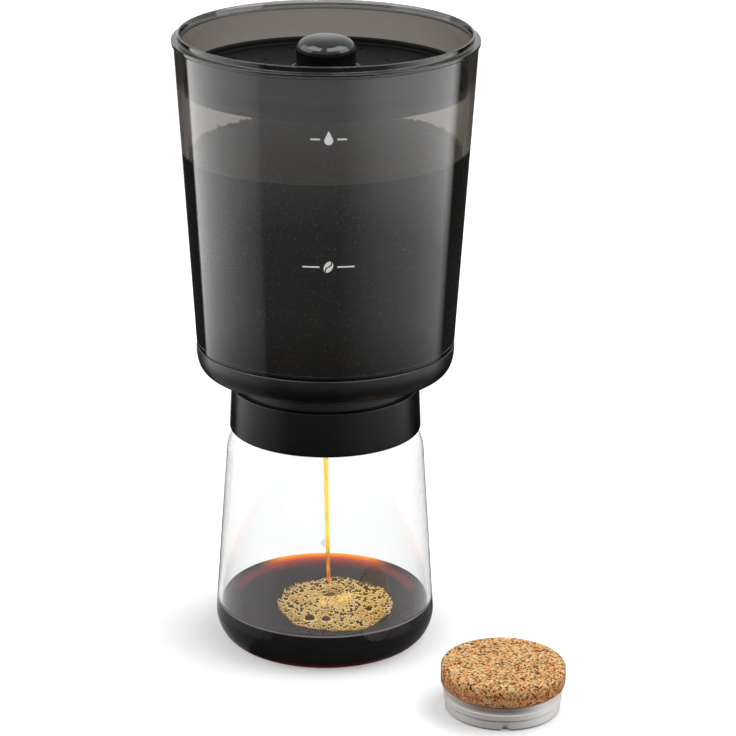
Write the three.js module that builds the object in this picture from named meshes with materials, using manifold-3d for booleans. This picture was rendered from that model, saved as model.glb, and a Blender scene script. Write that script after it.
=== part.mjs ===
// Cold brew coffee maker: a smoky brewing container on a glass carafe, with its cork stopper beside it.
// Millimetres, +Z up, origin at the centre of the carafe's flat bottom, -Y towards the viewer.
import * as THREE from 'three';
import { mergeVertices } from 'three/addons/utils/BufferGeometryUtils.js';
import Module from 'manifold-3d';

const wasm = await Module();
wasm.setup();

// Clearances
const fitGap = 0.3;
const overrun = 1.2;

// Sides of the turned pieces, large to tiny
const largeSides = 40;
const midSides = 28;
const smallSides = 16;
const tinySides = 8;

// Glass carafe
const carafe = {
  heelInset: 8.5,
  widestHeight: 13.5,
  bodyTaper: 5.6,
  shoulderOutset: 5.1,
  shoulderStartHeight: 96,
  throatWidth: 3.5,
  shoulderRise: 20,
  neckInset: 12.5,
  neckEase: 4,
  neckHeight: 14,
  wall: 2.4,
  neckWall: 2.6,
  floorThickness: 5,
};
const heelSquareness = 1.8;

// What is in the carafe
const coffee = { level: 19.5 };
const foam = { halfWidth: 29, halfDepth: 34, height: 1.5, offsetX: 5.6, offsetY: -10.5 };

// Brewing container
const container = {
  baseRadius: 63.4,
  flare: 9.7,
  wallHeight: 150.2,
  flangeThickness: 2,
  flangeWidth: 0.7,
  rimInset: 2.2,
  rimHeight: 2.9,
  topWall: 4.2,
  baseWall: 3,
  edgeRound: 0.5,
  floorThickness: 2.6,
  pocketDepth: 3.8,
  stepInset: 4.8,
  stepLip: 1.3,
  innerFillet: 3,
  pocketWall: 2.6,
  ledgeThickness: 2.6,
  sumpFloor: 2.4,
  drainRadius: 8,
};
const bossRadius = 2.7;
const bossInset = 0.4;
const screwCount = 4;

// Black base
const housing = {
  wall: 2.5,
  bowlDrop: 6.5,
  bowlHeight: 13.3,
  undersideRise: 1.2,
  neckRadius: 44,
  neckInCollar: 17.3,
  neckFillet: 1.5,
  flangeWidth: 5,
  flangeThickness: 2,
  rimStraight: 3.5,
};
const bowlSquareness = 2.56;
const collar = { belowBase: 7.7, height: 22.2, wall: 2.1, flare: 0.9, lipWall: 2.2, edgeRound: 0.6 };
const seal = { height: 2.8 };

// Drain plate and the neck's gasket
const plate = { thickness: 2.4, holeRadius: 9, sleeveHeight: 14.6, sleeveWall: 2.1 };
const neckGasket = { wall: 1.2, belowRim: 1, height: 10 };

// Screws of the base
const screw = {
  shankRadius: 1.3,
  headRadius: 2.5,
  headHeight: 1.4,
  grip: 5,
  driveRadius: 1.1,
  driveDepth: 0.8,
};

// Drip-stop valve
const valve = {
  travel: 3,
  ringInset: 2.2,
  ringThickness: 2,
  armWidth: 4,
  armCount: 3,
  hubRadius: 8.4,
  cupRadius: 7.2,
  cupFloorDrop: 5.3,
  cupFloorThickness: 1.6,
  spoutRadius: 5.8,
  spoutBore: 4.2,
  spoutDrop: 15.3,
  bossRadius: 2.8,
  bossHeight: 6,
  ribWidth: 1.2,
};
const stem = { radius: 1.5, headRadius: 2.6, headHeight: 1.3, collarHeight: 1, tip: 0.5 };
const poppet = { radius: 7.2, thickness: 1.6 };
const clip = { radius: 3.4, thickness: 1 };
const seat = { boreRadius: 5, flangeRadius: 10, flangeThickness: 1.2 };
const spring = { wireRadius: 0.5, coilRadius: 5.9, turns: 3, sides: 5, stepsPerTurn: 8 };

// Filter and the ground coffee on it
const filter = {
  pocketInset: 3,
  ledgeWidth: 5,
  headroom: 0.8,
  gasketWidth: 1,
  gasketHeight: 2.2,
  rimWall: 1.5,
  shelfWidth: 1.4,
  shelfThickness: 1.2,
  height: 3.2,
  spokeWidth: 2.4,
  spokeCount: 4,
  hubRadius: 4,
  meshThickness: 0.4,
  meshHoleRadius: 1.4,
  meshHolePitch: 9.5,
};
const meshRows = 2;
const groundsShare = 0.6671;
const groundsCrown = 0.8;

// Water distributor
const dish = {
  belowFlange: 21.5,
  skirtHeight: 8.7,
  lipHeight: 3.1,
  discThickness: 2.2,
  wall: 2.2,
  edgeRound: 0.7,
  knobRingRadius: 17,
  knobRingWall: 1.4,
  knobRingHeight: 3.6,
  holeRadius: 1.1,
};
const holeRingShares = [0.42, 0.62, 0.82];
const holeRingCounts = [6, 8, 10];
const knob = { radius: 14.3, sideHeight: 10.4, domeHeight: 8.5, squareness: 2.8, footRound: 0.6 };
const knobScrew = { shankRadius: 2, headRadius: 4, headHeight: 1.4, length: 9 };

// Stopper
const stopper = {
  offsetX: 85.4,
  offsetY: -89.9,
  corkRadius: 29.95,
  corkHeight: 10.9,
  corkRound: 2.2,
  plugHeight: 12.1,
  sealRadius: 28.4,
  sealFootRadius: 27.6,
  sealWall: 2.4,
  grooveDepth: 1.1,
  grooveHeight: 0.9,
  coreWall: 2.2,
  coreTop: 1.8,
  notchWidth: 3,
  notchDepth: 1.2,
};
const sealBandShares = [0.41, 0.68];

// Heights and radii that follow from the sizes above
const containerTopRadius = container.baseRadius + container.flare;
const containerFlangeRadius = containerTopRadius + container.flangeWidth;
const containerRimRadius = containerTopRadius - container.rimInset;
const innerTopRadius = containerTopRadius - container.topWall;
const innerBaseRadius = container.baseRadius - container.baseWall;
const stepRadius = container.baseRadius - container.stepInset;
const carafeNeckRadius = housing.neckRadius - carafe.neckInset;
const carafeThroatRadius = carafeNeckRadius + carafe.throatWidth;
const carafeShoulderRadius = housing.neckRadius + carafe.shoulderOutset;
const carafeWidestRadius = carafeShoulderRadius + carafe.bodyTaper;
const carafeFootRadius = carafeWidestRadius - carafe.heelInset;
const carafeInnerNeckRadius = carafeNeckRadius - carafe.neckWall;
const carafeNeckStart = carafe.shoulderStartHeight + carafe.shoulderRise + carafe.neckEase;
const carafeRim = carafeNeckStart + carafe.neckHeight;
const valveRingBottom = carafeRim + fitGap;
const valveRingTop = valveRingBottom + valve.ringThickness;
const plateBottom = valveRingTop + fitGap;
const plateTop = plateBottom + plate.thickness;
const sumpBottom = plateTop + fitGap;
const sumpTop = sumpBottom + container.sumpFloor;
const seatTop = sumpTop + fitGap + seat.flangeThickness;
const poppetBottom = seatTop + valve.travel + fitGap;
const clipBottom = poppetBottom + poppet.thickness + fitGap;
const stemTop = clipBottom + clip.thickness + stem.tip;
const ledgeTop = stemTop + filter.headroom;
const floorTop = ledgeTop + container.pocketDepth;
const floorBottom = floorTop - container.floorThickness;
const flangeHeight = floorTop + container.wallHeight;
const wallBottom = floorTop + container.stepLip;
const housingTop = wallBottom - fitGap;
const housingInnerRim = container.baseRadius - housing.wall;
const housingNeckInner = housing.neckRadius - housing.wall;
const housingUnderside = housingTop - housing.bowlHeight - housing.undersideRise;
const collarTop = housingUnderside - collar.belowBase;
const collarBottom = collarTop - collar.height;
const collarTopRadius = housing.neckRadius + fitGap + collar.wall;
const collarBottomRadius = collarTopRadius + collar.flare;
const housingNeckBottom = collarTop - housing.neckInCollar;
const housingFlangeInner = housingNeckInner - housing.flangeWidth;
const bossCentreRadius = housingNeckInner - bossRadius - bossInset;
const flangeBottom = plateTop + fitGap;
const flangeTop = flangeBottom + housing.flangeThickness;
const pocketRadius = housingNeckInner - filter.pocketInset;
const sumpInnerRadius = pocketRadius - filter.ledgeWidth;
const sumpOuterRadius = sumpInnerRadius + container.pocketWall;
const sleeveBottom = plateBottom - plate.sleeveHeight;
const neckGasketTop = carafeRim - neckGasket.belowRim;
const neckGasketBottom = neckGasketTop - neckGasket.height;
const sleeveInnerRadius = carafeNeckRadius + fitGap + neckGasket.wall + fitGap;
const sleeveOuterRadius = sleeveInnerRadius + plate.sleeveWall;
const filterBottom = ledgeTop + fitGap;
const gasketOuterRadius = pocketRadius - fitGap;
const frameRadius = gasketOuterRadius - filter.gasketWidth - fitGap;
const meshBottom = filterBottom + filter.shelfThickness + fitGap;
const meshRadius = frameRadius - filter.rimWall - fitGap;
const containerRim = flangeHeight + container.flangeThickness + container.rimHeight;
const groundsLevel = mix(floorTop, flangeHeight, groundsShare);
const dishBottom = flangeHeight - dish.belowFlange;
const dishTop = dishBottom + dish.skirtHeight;
const discTop = dishTop - dish.lipHeight;
const discBottom = discTop - dish.discThickness;
const screwHole = screw.shankRadius + fitGap;

function mix(a, b, share) {
  return a + (b - a) * share;
}

// The container's inner wall is a straight cone.
function innerWallRadius(height) {
  const share = (height - floorTop) / (flangeHeight - floorTop);
  return mix(innerBaseRadius, innerTopRadius, share);
}

function outerGlassRadius(height) {
  const share = (height - carafe.widestHeight) / (carafe.shoulderStartHeight - carafe.widestHeight);
  return mix(carafeWidestRadius, carafeShoulderRadius, share);
}

// A quarter of a superellipse, from (startR, startZ) heading along Z to (endR, endZ) heading along R.
function squareArc(startR, startZ, endR, endZ, squareness, steps) {
  const points = [];
  for (let i = 0; i <= steps; i += 1) {
    const angle = (Math.PI / 2) * (i / steps);
    const along = Math.cos(angle) ** (2 / squareness);
    const across = Math.sin(angle) ** (2 / squareness);
    points.push([mix(endR, startR, along), mix(startZ, endZ, across)]);
  }
  return points;
}

// Turns an outline of [radius, height] points about Z. A ring's outline closes on itself.
function turned(outline, sides, ring = false) {
  const points = outline.map(([r, z]) => new THREE.Vector2(Math.max(r, 0), z));
  if (ring) points.push(points[0].clone());
  const geometry = new THREE.LatheGeometry(points, sides);
  geometry.rotateX(Math.PI / 2);
  return geometry;
}

function ringOf(inner, outer, bottom, top, sides) {
  return turned([[inner, bottom], [outer, bottom], [outer, top], [inner, top]], sides, true);
}

function post(radius, bottom, top, x, y, sides) {
  const geometry = new THREE.CylinderGeometry(radius, radius, top - bottom, sides);
  geometry.rotateX(Math.PI / 2);
  geometry.translate(x, y, (bottom + top) / 2);
  return geometry;
}

// A bar lying along the radius at an angle, from one radius to another.
function radialBar(fromRadius, toRadius, width, bottom, top, angle) {
  const geometry = new THREE.BoxGeometry(toRadius - fromRadius, width, top - bottom);
  geometry.translate((fromRadius + toRadius) / 2, 0, (bottom + top) / 2);
  geometry.rotateZ(angle);
  return geometry;
}

function solidOf(geometry) {
  const bare = geometry.clone();
  bare.deleteAttribute('normal');
  bare.deleteAttribute('uv');
  const merged = mergeVertices(bare, 1e-4);
  const index = merged.index.array;
  const kept = [];
  for (let i = 0; i < index.length; i += 3) {
    const [a, b, c] = [index[i], index[i + 1], index[i + 2]];
    if (a !== b && b !== c && c !== a) kept.push(a, b, c);
  }
  const mesh = new wasm.Mesh({
    numProp: 3,
    vertProperties: new Float32Array(merged.attributes.position.array),
    triVerts: new Uint32Array(kept),
  });
  return new wasm.Manifold(mesh);
}

function geometryOf(solid) {
  const mesh = solid.getMesh();
  const geometry = new THREE.BufferGeometry();
  geometry.setAttribute('position', new THREE.BufferAttribute(new Float32Array(mesh.vertProperties), 3));
  geometry.setIndex(new THREE.BufferAttribute(new Uint32Array(mesh.triVerts), 1));
  geometry.computeVertexNormals();
  return geometry;
}

// Joins the added shapes to the first one and then cuts the others away.
function carved(base, added, cuts) {
  let solid = solidOf(base);
  for (const shape of added) solid = solid.add(solidOf(shape));
  for (const shape of cuts) solid = solid.subtract(solidOf(shape));
  return geometryOf(solid);
}

const maker = new THREE.Group();

function place(name, geometry, look) {
  const mesh = new THREE.Mesh(geometry, new THREE.MeshStandardMaterial(look));
  mesh.name = name;
  maker.add(mesh);
  return mesh;
}

const looks = {
  clearGlass: { color: 0xf4f6f5, roughness: 0.03, metalness: 0, transparent: true, opacity: 0.3 },
  smoke: { color: 0x6a665f, roughness: 0.08, metalness: 0, transparent: true, opacity: 0.55 },
  black: { color: 0x121212, roughness: 0.35, metalness: 0 },
  glossBlack: { color: 0x0c0c0d, roughness: 0.15, metalness: 0 },
  silicone: { color: 0x3a3a3c, roughness: 0.6, metalness: 0 },
  steel: { color: 0xb8b9bb, roughness: 0.3, metalness: 1 },
  coffee: { color: 0x150704, roughness: 0.05, metalness: 0 },
  foam: { color: 0xc89a55, roughness: 0.4, metalness: 0 },
  grounds: { color: 0x1c1512, roughness: 0.95, metalness: 0 },
  cork: { color: 0xc89660, roughness: 0.85, metalness: 0 },
  frosted: { color: 0xd9d8d6, roughness: 0.5, metalness: 0, transparent: true, opacity: 0.8 },
};

// Carafe

// The carafe's inner side, from the axis at its floor up to the neck's mouth, drawn in by a clearance.
function innerGlassOutline(inset) {
  const wall = carafe.wall + inset;
  const floor = carafe.floorThickness + inset;
  const heelTop = carafe.widestHeight + carafe.floorThickness;
  const heel = squareArc(
    outerGlassRadius(heelTop) - wall,
    heelTop,
    carafeFootRadius - wall,
    floor,
    heelSquareness,
    4,
  ).reverse();
  return [[0, floor], ...heel];
}

function carafeGlass() {
  const heel = squareArc(
    carafeWidestRadius,
    carafe.widestHeight,
    carafeFootRadius,
    0,
    heelSquareness,
    5,
  ).reverse();
  const shoulderTop = carafe.shoulderStartHeight + carafe.shoulderRise;
  const outerShoulder = squareArc(
    carafeShoulderRadius,
    carafe.shoulderStartHeight,
    carafeThroatRadius,
    shoulderTop,
    2,
    5,
  );
  const innerShoulder = squareArc(
    carafeShoulderRadius - carafe.wall,
    carafe.shoulderStartHeight,
    carafeThroatRadius,
    shoulderTop - carafe.wall,
    2,
    4,
  ).reverse();
  const lip = carafe.neckWall / 4;
  return turned(
    [
      [0, 0],
      ...heel,
      ...outerShoulder,
      [carafeNeckRadius, carafeNeckStart],
      [carafeNeckRadius, carafeRim - lip],
      [carafeNeckRadius - lip, carafeRim],
      [carafeInnerNeckRadius + lip, carafeRim],
      [carafeInnerNeckRadius, carafeRim - lip],
      [carafeInnerNeckRadius, carafeNeckStart - carafe.wall],
      ...innerShoulder,
      ...innerGlassOutline(0).reverse(),
    ],
    largeSides,
  );
}

function brewedCoffee() {
  const surface = outerGlassRadius(coffee.level) - carafe.wall - fitGap;
  return turned([...innerGlassOutline(fitGap), [surface, coffee.level], [0, coffee.level]], largeSides);
}

function coffeeFoam() {
  const bottom = coffee.level + fitGap;
  const top = bottom + foam.height;
  const rim = squareArc(foam.halfWidth, bottom + foam.height / 3, foam.halfWidth / 2, top, 2, 3);
  const geometry = turned([[0, bottom], [foam.halfWidth, bottom], ...rim, [0, top]], midSides);
  geometry.scale(1, foam.halfDepth / foam.halfWidth, 1);
  return geometry;
}

place('carafe_glass', carafeGlass(), looks.clearGlass);
place('brewed_coffee', brewedCoffee(), looks.coffee);
place('coffee_foam', coffeeFoam(), looks.foam).position.set(foam.offsetX, foam.offsetY, 0);

// Drip-stop valve

const hubCupFloor = valveRingTop - valve.cupFloorDrop;
const hubBottom = hubCupFloor - valve.cupFloorThickness;
const spoutBottom = valveRingTop - valve.spoutDrop;
const stemBossBottom = hubCupFloor - valve.bossHeight;

function valveActuator() {
  const hub = turned(
    [
      [valve.spoutBore, spoutBottom],
      [valve.spoutRadius, spoutBottom],
      [valve.spoutRadius, hubBottom],
      [valve.hubRadius, hubBottom],
      [valve.hubRadius, valveRingTop],
      [valve.cupRadius, valveRingTop],
      [valve.cupRadius, hubCupFloor],
      [valve.spoutBore, hubCupFloor],
    ],
    smallSides,
    true,
  );
  const ringInner = carafeNeckRadius - valve.ringInset;
  const ring = ringOf(ringInner, carafeNeckRadius, valveRingBottom, valveRingTop, midSides);
  const added = [ring, post(valve.bossRadius, stemBossBottom, hubCupFloor, 0, 0, tinySides)];
  for (let i = 0; i < valve.armCount; i += 1) {
    const angle = (i / valve.armCount) * Math.PI * 2 + Math.PI / 2;
    const armInner = (valve.hubRadius + valve.cupRadius) / 2;
    const armOuter = carafeNeckRadius - valve.ringInset / 2;
    const ribInner = valve.bossRadius / 2;
    const ribOuter = (valve.spoutBore + valve.spoutRadius) / 2;
    added.push(radialBar(armInner, armOuter, valve.armWidth, valveRingBottom, valveRingTop, angle));
    added.push(radialBar(ribInner, ribOuter, valve.ribWidth, stemBossBottom, hubCupFloor, angle));
  }
  const hole = post(stem.radius + fitGap, stemBossBottom - overrun, hubCupFloor + overrun, 0, 0, tinySides);
  return carved(hub, added, [hole]);
}

function valveStem() {
  const headTop = stemBossBottom - fitGap;
  const collarTop = poppetBottom - fitGap;
  const collarBottom = collarTop - stem.collarHeight;
  return turned(
    [
      [0, headTop - stem.headHeight],
      [stem.headRadius, headTop - stem.headHeight],
      [stem.headRadius, headTop],
      [stem.radius, headTop],
      [stem.radius, collarBottom],
      [stem.headRadius, collarBottom],
      [stem.headRadius, collarTop],
      [stem.radius, collarTop],
      [stem.radius, stemTop],
      [0, stemTop],
    ],
    tinySides,
  );
}

// One unbroken wire from the actuator's cup to the underside of the seat.
function valveSpring() {
  class Helix extends THREE.Curve {
    getPoint(share) {
      const angle = share * spring.turns * Math.PI * 2;
      const low = hubCupFloor + fitGap + spring.wireRadius;
      const high = sumpBottom - fitGap - spring.wireRadius;
      return new THREE.Vector3(
        spring.coilRadius * Math.cos(angle),
        spring.coilRadius * Math.sin(angle),
        mix(low, high, share),
      );
    }
  }
  const section = new THREE.Shape();
  for (let i = 0; i < spring.sides; i += 1) {
    const angle = (i / spring.sides) * Math.PI * 2;
    const x = spring.wireRadius * Math.cos(angle);
    const y = spring.wireRadius * Math.sin(angle);
    if (i === 0) section.moveTo(x, y);
    else section.lineTo(x, y);
  }
  const steps = spring.turns * spring.stepsPerTurn;
  return new THREE.ExtrudeGeometry(section, { steps, extrudePath: new Helix(), bevelEnabled: false });
}

place('valve_actuator', valveActuator(), looks.black);
place('valve_stem', valveStem(), looks.steel);
const stemHole = stem.radius + fitGap;
const poppetTop = poppetBottom + poppet.thickness;
place('valve_seal', ringOf(stemHole, poppet.radius, poppetBottom, poppetTop, smallSides), looks.silicone);
const clipTop = clipBottom + clip.thickness;
place('valve_clip', ringOf(stemHole, clip.radius, clipBottom, clipTop, tinySides), looks.steel);
place('valve_spring', valveSpring(), looks.steel);

// Brewer: container, base, drain plate

// Calls make(x, y) at each screw's place on the base.
function atScrews(make) {
  const made = [];
  for (let i = 0; i < screwCount; i += 1) {
    const angle = ((i + 0.5) / screwCount) * Math.PI * 2;
    made.push(make(bossCentreRadius * Math.cos(angle), bossCentreRadius * Math.sin(angle)));
  }
  return made;
}

function brewContainer() {
  const c = container;
  const round = c.edgeRound;
  const flangeTopHeight = flangeHeight + c.flangeThickness;
  const ledgeBottom = ledgeTop - c.ledgeThickness;
  const pocketOuter = pocketRadius + c.pocketWall;
  const fillet = squareArc(
    innerWallRadius(floorTop + c.innerFillet),
    floorTop + c.innerFillet,
    innerBaseRadius - c.innerFillet,
    floorTop,
    2,
    2,
  );
  const shell = turned(
    [
      [c.drainRadius, sumpBottom],
      [sumpOuterRadius, sumpBottom],
      [sumpOuterRadius, ledgeBottom],
      [pocketOuter, ledgeBottom],
      [pocketOuter, floorBottom],
      [stepRadius, floorBottom],
      [stepRadius, wallBottom],
      [c.baseRadius, wallBottom],
      [containerTopRadius, flangeHeight],
      [containerFlangeRadius, flangeHeight + round],
      [containerFlangeRadius, flangeTopHeight - round],
      [containerFlangeRadius - round, flangeTopHeight],
      [containerRimRadius, flangeTopHeight],
      [containerRimRadius, containerRim - round],
      [containerRimRadius - round, containerRim],
      [innerTopRadius + round, containerRim],
      [innerTopRadius, containerRim - round],
      [innerTopRadius, flangeHeight],
      ...fillet,
      [pocketRadius, floorTop],
      [pocketRadius, ledgeTop],
      [sumpInnerRadius, ledgeTop],
      [sumpInnerRadius, sumpTop],
      [c.drainRadius, sumpTop],
    ],
    largeSides,
    true,
  );
  const bossBottom = flangeTop + fitGap;
  const bossTop = ledgeBottom + c.ledgeThickness / 2;
  const bosses = atScrews((x, y) => post(bossRadius, bossBottom, bossTop, x, y, tinySides));
  const holeTop = plateTop + screw.grip + fitGap;
  const holes = atScrews((x, y) => post(screwHole, bossBottom - overrun, holeTop, x, y, tinySides));
  return carved(shell, bosses, holes);
}

function baseHousing() {
  const h = housing;
  const bowlBottom = housingTop - h.bowlHeight;
  const innerBowlBottom = bowlBottom + h.wall;
  const bowlFoot = container.baseRadius - h.bowlDrop;
  const bowl = squareArc(container.baseRadius, housingTop, bowlFoot, bowlBottom, bowlSquareness, 6).reverse();
  const inner = squareArc(
    housingInnerRim,
    housingTop - h.rimStraight,
    bowlFoot,
    innerBowlBottom,
    bowlSquareness,
    3,
  );
  const shell = turned(
    [
      [housingNeckInner, housingNeckBottom],
      [h.neckRadius, housingNeckBottom],
      [h.neckRadius, housingUnderside - h.neckFillet],
      [h.neckRadius + h.neckFillet, housingUnderside],
      ...bowl,
      [housingInnerRim, housingTop],
      ...inner,
      [housingNeckInner, housingUnderside + h.wall],
      [housingNeckInner, flangeTop],
      [housingFlangeInner, flangeTop],
      [housingFlangeInner, flangeBottom],
      [housingNeckInner, flangeBottom],
    ],
    largeSides,
    true,
  );
  const holeBottom = flangeBottom - overrun;
  const holes = atScrews((x, y) => post(screwHole, holeBottom, flangeTop + overrun, x, y, tinySides));
  return carved(shell, [], holes);
}

function neckCollar() {
  const inner = housing.neckRadius + fitGap;
  const lipInner = collarBottomRadius - collar.lipWall;
  return turned(
    [
      [lipInner, collarBottom],
      [collarBottomRadius - collar.edgeRound, collarBottom],
      [collarBottomRadius, collarBottom + collar.edgeRound],
      [collarTopRadius, collarTop - collar.edgeRound],
      [collarTopRadius - collar.edgeRound, collarTop],
      [inner, collarTop],
      [inner, housingNeckBottom],
    ],
    largeSides,
    true,
  );
}

function drainPlate() {
  const plateRadius = housingNeckInner - fitGap;
  const shell = turned(
    [
      [plate.holeRadius, plateBottom],
      [sleeveInnerRadius, plateBottom],
      [sleeveInnerRadius, sleeveBottom],
      [sleeveOuterRadius, sleeveBottom],
      [sleeveOuterRadius, plateBottom],
      [plateRadius, plateBottom],
      [plateRadius, plateTop],
      [plate.holeRadius, plateTop],
    ],
    midSides,
    true,
  );
  const holeBottom = plateBottom - overrun;
  const holes = atScrews((x, y) => post(screwHole, holeBottom, plateTop + overrun, x, y, tinySides));
  return carved(shell, [], holes);
}

function valveSeat() {
  const bodyRadius = container.drainRadius - fitGap;
  return turned(
    [
      [seat.boreRadius, sumpBottom],
      [bodyRadius, sumpBottom],
      [bodyRadius, sumpTop + fitGap],
      [seat.flangeRadius, sumpTop + fitGap],
      [seat.flangeRadius, seatTop],
      [seat.boreRadius, seatTop],
    ],
    smallSides,
    true,
  );
}

// A screw driven upwards, with its head below and a hollow for the driver.
function screwShape(shankRadius, headRadius, headHeight, headTop, tip, sides) {
  const driveRadius = (headRadius * screw.driveRadius) / screw.headRadius;
  const driveDepth = screw.driveDepth;
  return turned(
    [
      [0, headTop - headHeight + driveDepth],
      [driveRadius, headTop - headHeight + driveDepth],
      [driveRadius, headTop - headHeight],
      [headRadius, headTop - headHeight],
      [headRadius, headTop],
      [shankRadius, headTop],
      [shankRadius, tip],
      [0, tip],
    ],
    sides,
  );
}

place('brew_container', brewContainer(), looks.smoke);
const baseSealRadius = stepRadius + fitGap * 2;
const baseSealTop = housingTop - fitGap;
const baseSealShape = ringOf(
  baseSealRadius,
  housingInnerRim - fitGap,
  baseSealTop - seal.height,
  baseSealTop,
  midSides,
);
place('base_seal', baseSealShape, looks.silicone);
place('base_housing', baseHousing(), looks.black);
place('neck_collar', neckCollar(), looks.black);
place('drain_plate', drainPlate(), looks.black);
const gasketInner = carafeNeckRadius + fitGap;
const neckGasketShape = ringOf(
  gasketInner,
  gasketInner + neckGasket.wall,
  neckGasketBottom,
  neckGasketTop,
  midSides,
);
place('neck_gasket', neckGasketShape, looks.silicone);
place('valve_seat', valveSeat(), looks.silicone);
atScrews((x, y) => [x, y]).forEach(([x, y], i) => {
  const headTop = plateBottom - fitGap;
  const shape = screwShape(
    screw.shankRadius,
    screw.headRadius,
    screw.headHeight,
    headTop,
    plateTop + screw.grip,
    tinySides,
  );
  place(`base_screw_${i + 1}`, shape, looks.steel).position.set(x, y, 0);
});

// Filter and grounds

function filterFrame() {
  const shelfInner = frameRadius - filter.rimWall - filter.shelfWidth;
  const shelfTop = filterBottom + filter.shelfThickness;
  const ring = turned(
    [
      [shelfInner, filterBottom],
      [frameRadius, filterBottom],
      [frameRadius, filterBottom + filter.height],
      [frameRadius - filter.rimWall, filterBottom + filter.height],
      [frameRadius - filter.rimWall, shelfTop],
      [shelfInner, shelfTop],
    ],
    midSides,
    true,
  );
  const added = [post(filter.hubRadius, filterBottom, shelfTop, 0, 0, tinySides)];
  for (let i = 0; i < filter.spokeCount; i += 1) {
    const angle = (i / filter.spokeCount) * Math.PI * 2;
    const outer = shelfInner + filter.shelfWidth / 2;
    added.push(radialBar(filter.hubRadius / 2, outer, filter.spokeWidth, filterBottom, shelfTop, angle));
  }
  return carved(ring, added, []);
}

function filterMesh() {
  const top = meshBottom + filter.meshThickness;
  const disc = turned([[0, meshBottom], [meshRadius, meshBottom], [meshRadius, top], [0, top]], midSides);
  const holes = [];
  for (let row = 1; row <= meshRows; row += 1) {
    const count = 6 * row;
    for (let i = 0; i < count; i += 1) {
      const angle = ((i + 0.5) / count) * Math.PI * 2;
      const reach = row * filter.meshHolePitch + filter.meshHolePitch / 2;
      const [x, y] = [reach * Math.cos(angle), reach * Math.sin(angle)];
      holes.push(post(filter.meshHoleRadius, meshBottom - overrun, top + overrun, x, y, 6));
    }
  }
  return carved(disc, [], holes);
}

// The bed fills the filter's frame, the floor and the wall's cone, and is a little crowned.
function coffeeGrounds() {
  const meshTop = meshBottom + filter.meshThickness + fitGap;
  const floor = floorTop + fitGap;
  const wallTop = groundsLevel - groundsCrown;
  const plugRadius = meshRadius;
  return turned(
    [
      [0, meshTop],
      [plugRadius, meshTop],
      [plugRadius, floor],
      [innerBaseRadius - container.innerFillet - fitGap, floor],
      [innerWallRadius(floor + container.innerFillet) - fitGap, floor + container.innerFillet],
      [innerWallRadius(wallTop) - fitGap, wallTop],
      [innerWallRadius(wallTop) / 2, groundsLevel],
      [0, groundsLevel],
    ],
    largeSides,
  );
}

place('filter_frame', filterFrame(), looks.black);
place('filter_mesh', filterMesh(), looks.steel);
const filterGasketShape = ringOf(
  gasketOuterRadius - filter.gasketWidth,
  gasketOuterRadius,
  filterBottom,
  filterBottom + filter.gasketHeight,
  midSides,
);
place('filter_gasket', filterGasketShape, looks.silicone);
place('coffee_grounds', coffeeGrounds(), looks.grounds);

// Water distributor

const knobScrewHole = knobScrew.shankRadius + fitGap;

function rainmakerDish() {
  const skirtRadius = innerWallRadius(dishBottom) - fitGap;
  const lipRadius = innerWallRadius(dishTop) - fitGap;
  const ringTop = discTop + dish.knobRingHeight;
  const ringInner = dish.knobRingRadius - dish.knobRingWall;
  const shell = turned(
    [
      [knobScrewHole, discBottom],
      [skirtRadius - dish.wall, discBottom],
      [skirtRadius - dish.wall, dishBottom],
      [skirtRadius, dishBottom],
      [lipRadius, dishTop - dish.edgeRound],
      [lipRadius - dish.edgeRound, dishTop],
      [lipRadius - dish.wall + dish.edgeRound, dishTop],
      [lipRadius - dish.wall, dishTop - dish.edgeRound],
      [lipRadius - dish.wall, discTop],
      [dish.knobRingRadius, discTop],
      [dish.knobRingRadius, ringTop],
      [ringInner, ringTop],
      [ringInner, discTop],
      [knobScrewHole, discTop],
    ],
    largeSides,
    true,
  );
  const holes = [];
  holeRingShares.forEach((share, ringIndex) => {
    const reach = skirtRadius * share;
    const count = holeRingCounts[ringIndex];
    for (let i = 0; i < count; i += 1) {
      const angle = (i / count) * Math.PI * 2;
      const [x, y] = [reach * Math.cos(angle), reach * Math.sin(angle)];
      holes.push(post(dish.holeRadius, discBottom - overrun, discTop + overrun, x, y, 6));
    }
  });
  return carved(shell, [], holes);
}

function rainmakerKnob() {
  const bottom = discTop + fitGap;
  const side = bottom + knob.sideHeight;
  const holeTop = bottom + knobScrew.length + fitGap;
  const dome = squareArc(knob.radius, side, 0, side + knob.domeHeight, knob.squareness, 7);
  return turned(
    [
      [0, holeTop],
      [knobScrewHole, holeTop],
      [knobScrewHole, bottom],
      [knob.radius - knob.footRound, bottom],
      [knob.radius, bottom + knob.footRound],
      ...dome,
    ],
    midSides,
  );
}

place('rainmaker_dish', rainmakerDish(), looks.black);
place('rainmaker_knob', rainmakerKnob(), looks.glossBlack);
const knobScrewShape = screwShape(
  knobScrew.shankRadius,
  knobScrew.headRadius,
  knobScrew.headHeight,
  discBottom - fitGap,
  discTop + fitGap + knobScrew.length,
  tinySides,
);
place('knob_screw', knobScrewShape, looks.steel);

// Stopper, standing beside the carafe

function stopperCork() {
  const bottom = stopper.plugHeight + fitGap;
  const top = bottom + stopper.corkHeight;
  const round = stopper.corkRound;
  const inner = stopper.corkRadius - round;
  const lower = squareArc(stopper.corkRadius, bottom + round, inner, bottom, 2, 2).reverse();
  const upper = squareArc(stopper.corkRadius, top - round, inner, top, 2, 3);
  return turned([[0, bottom], ...lower, ...upper, [0, top]], midSides);
}

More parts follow.
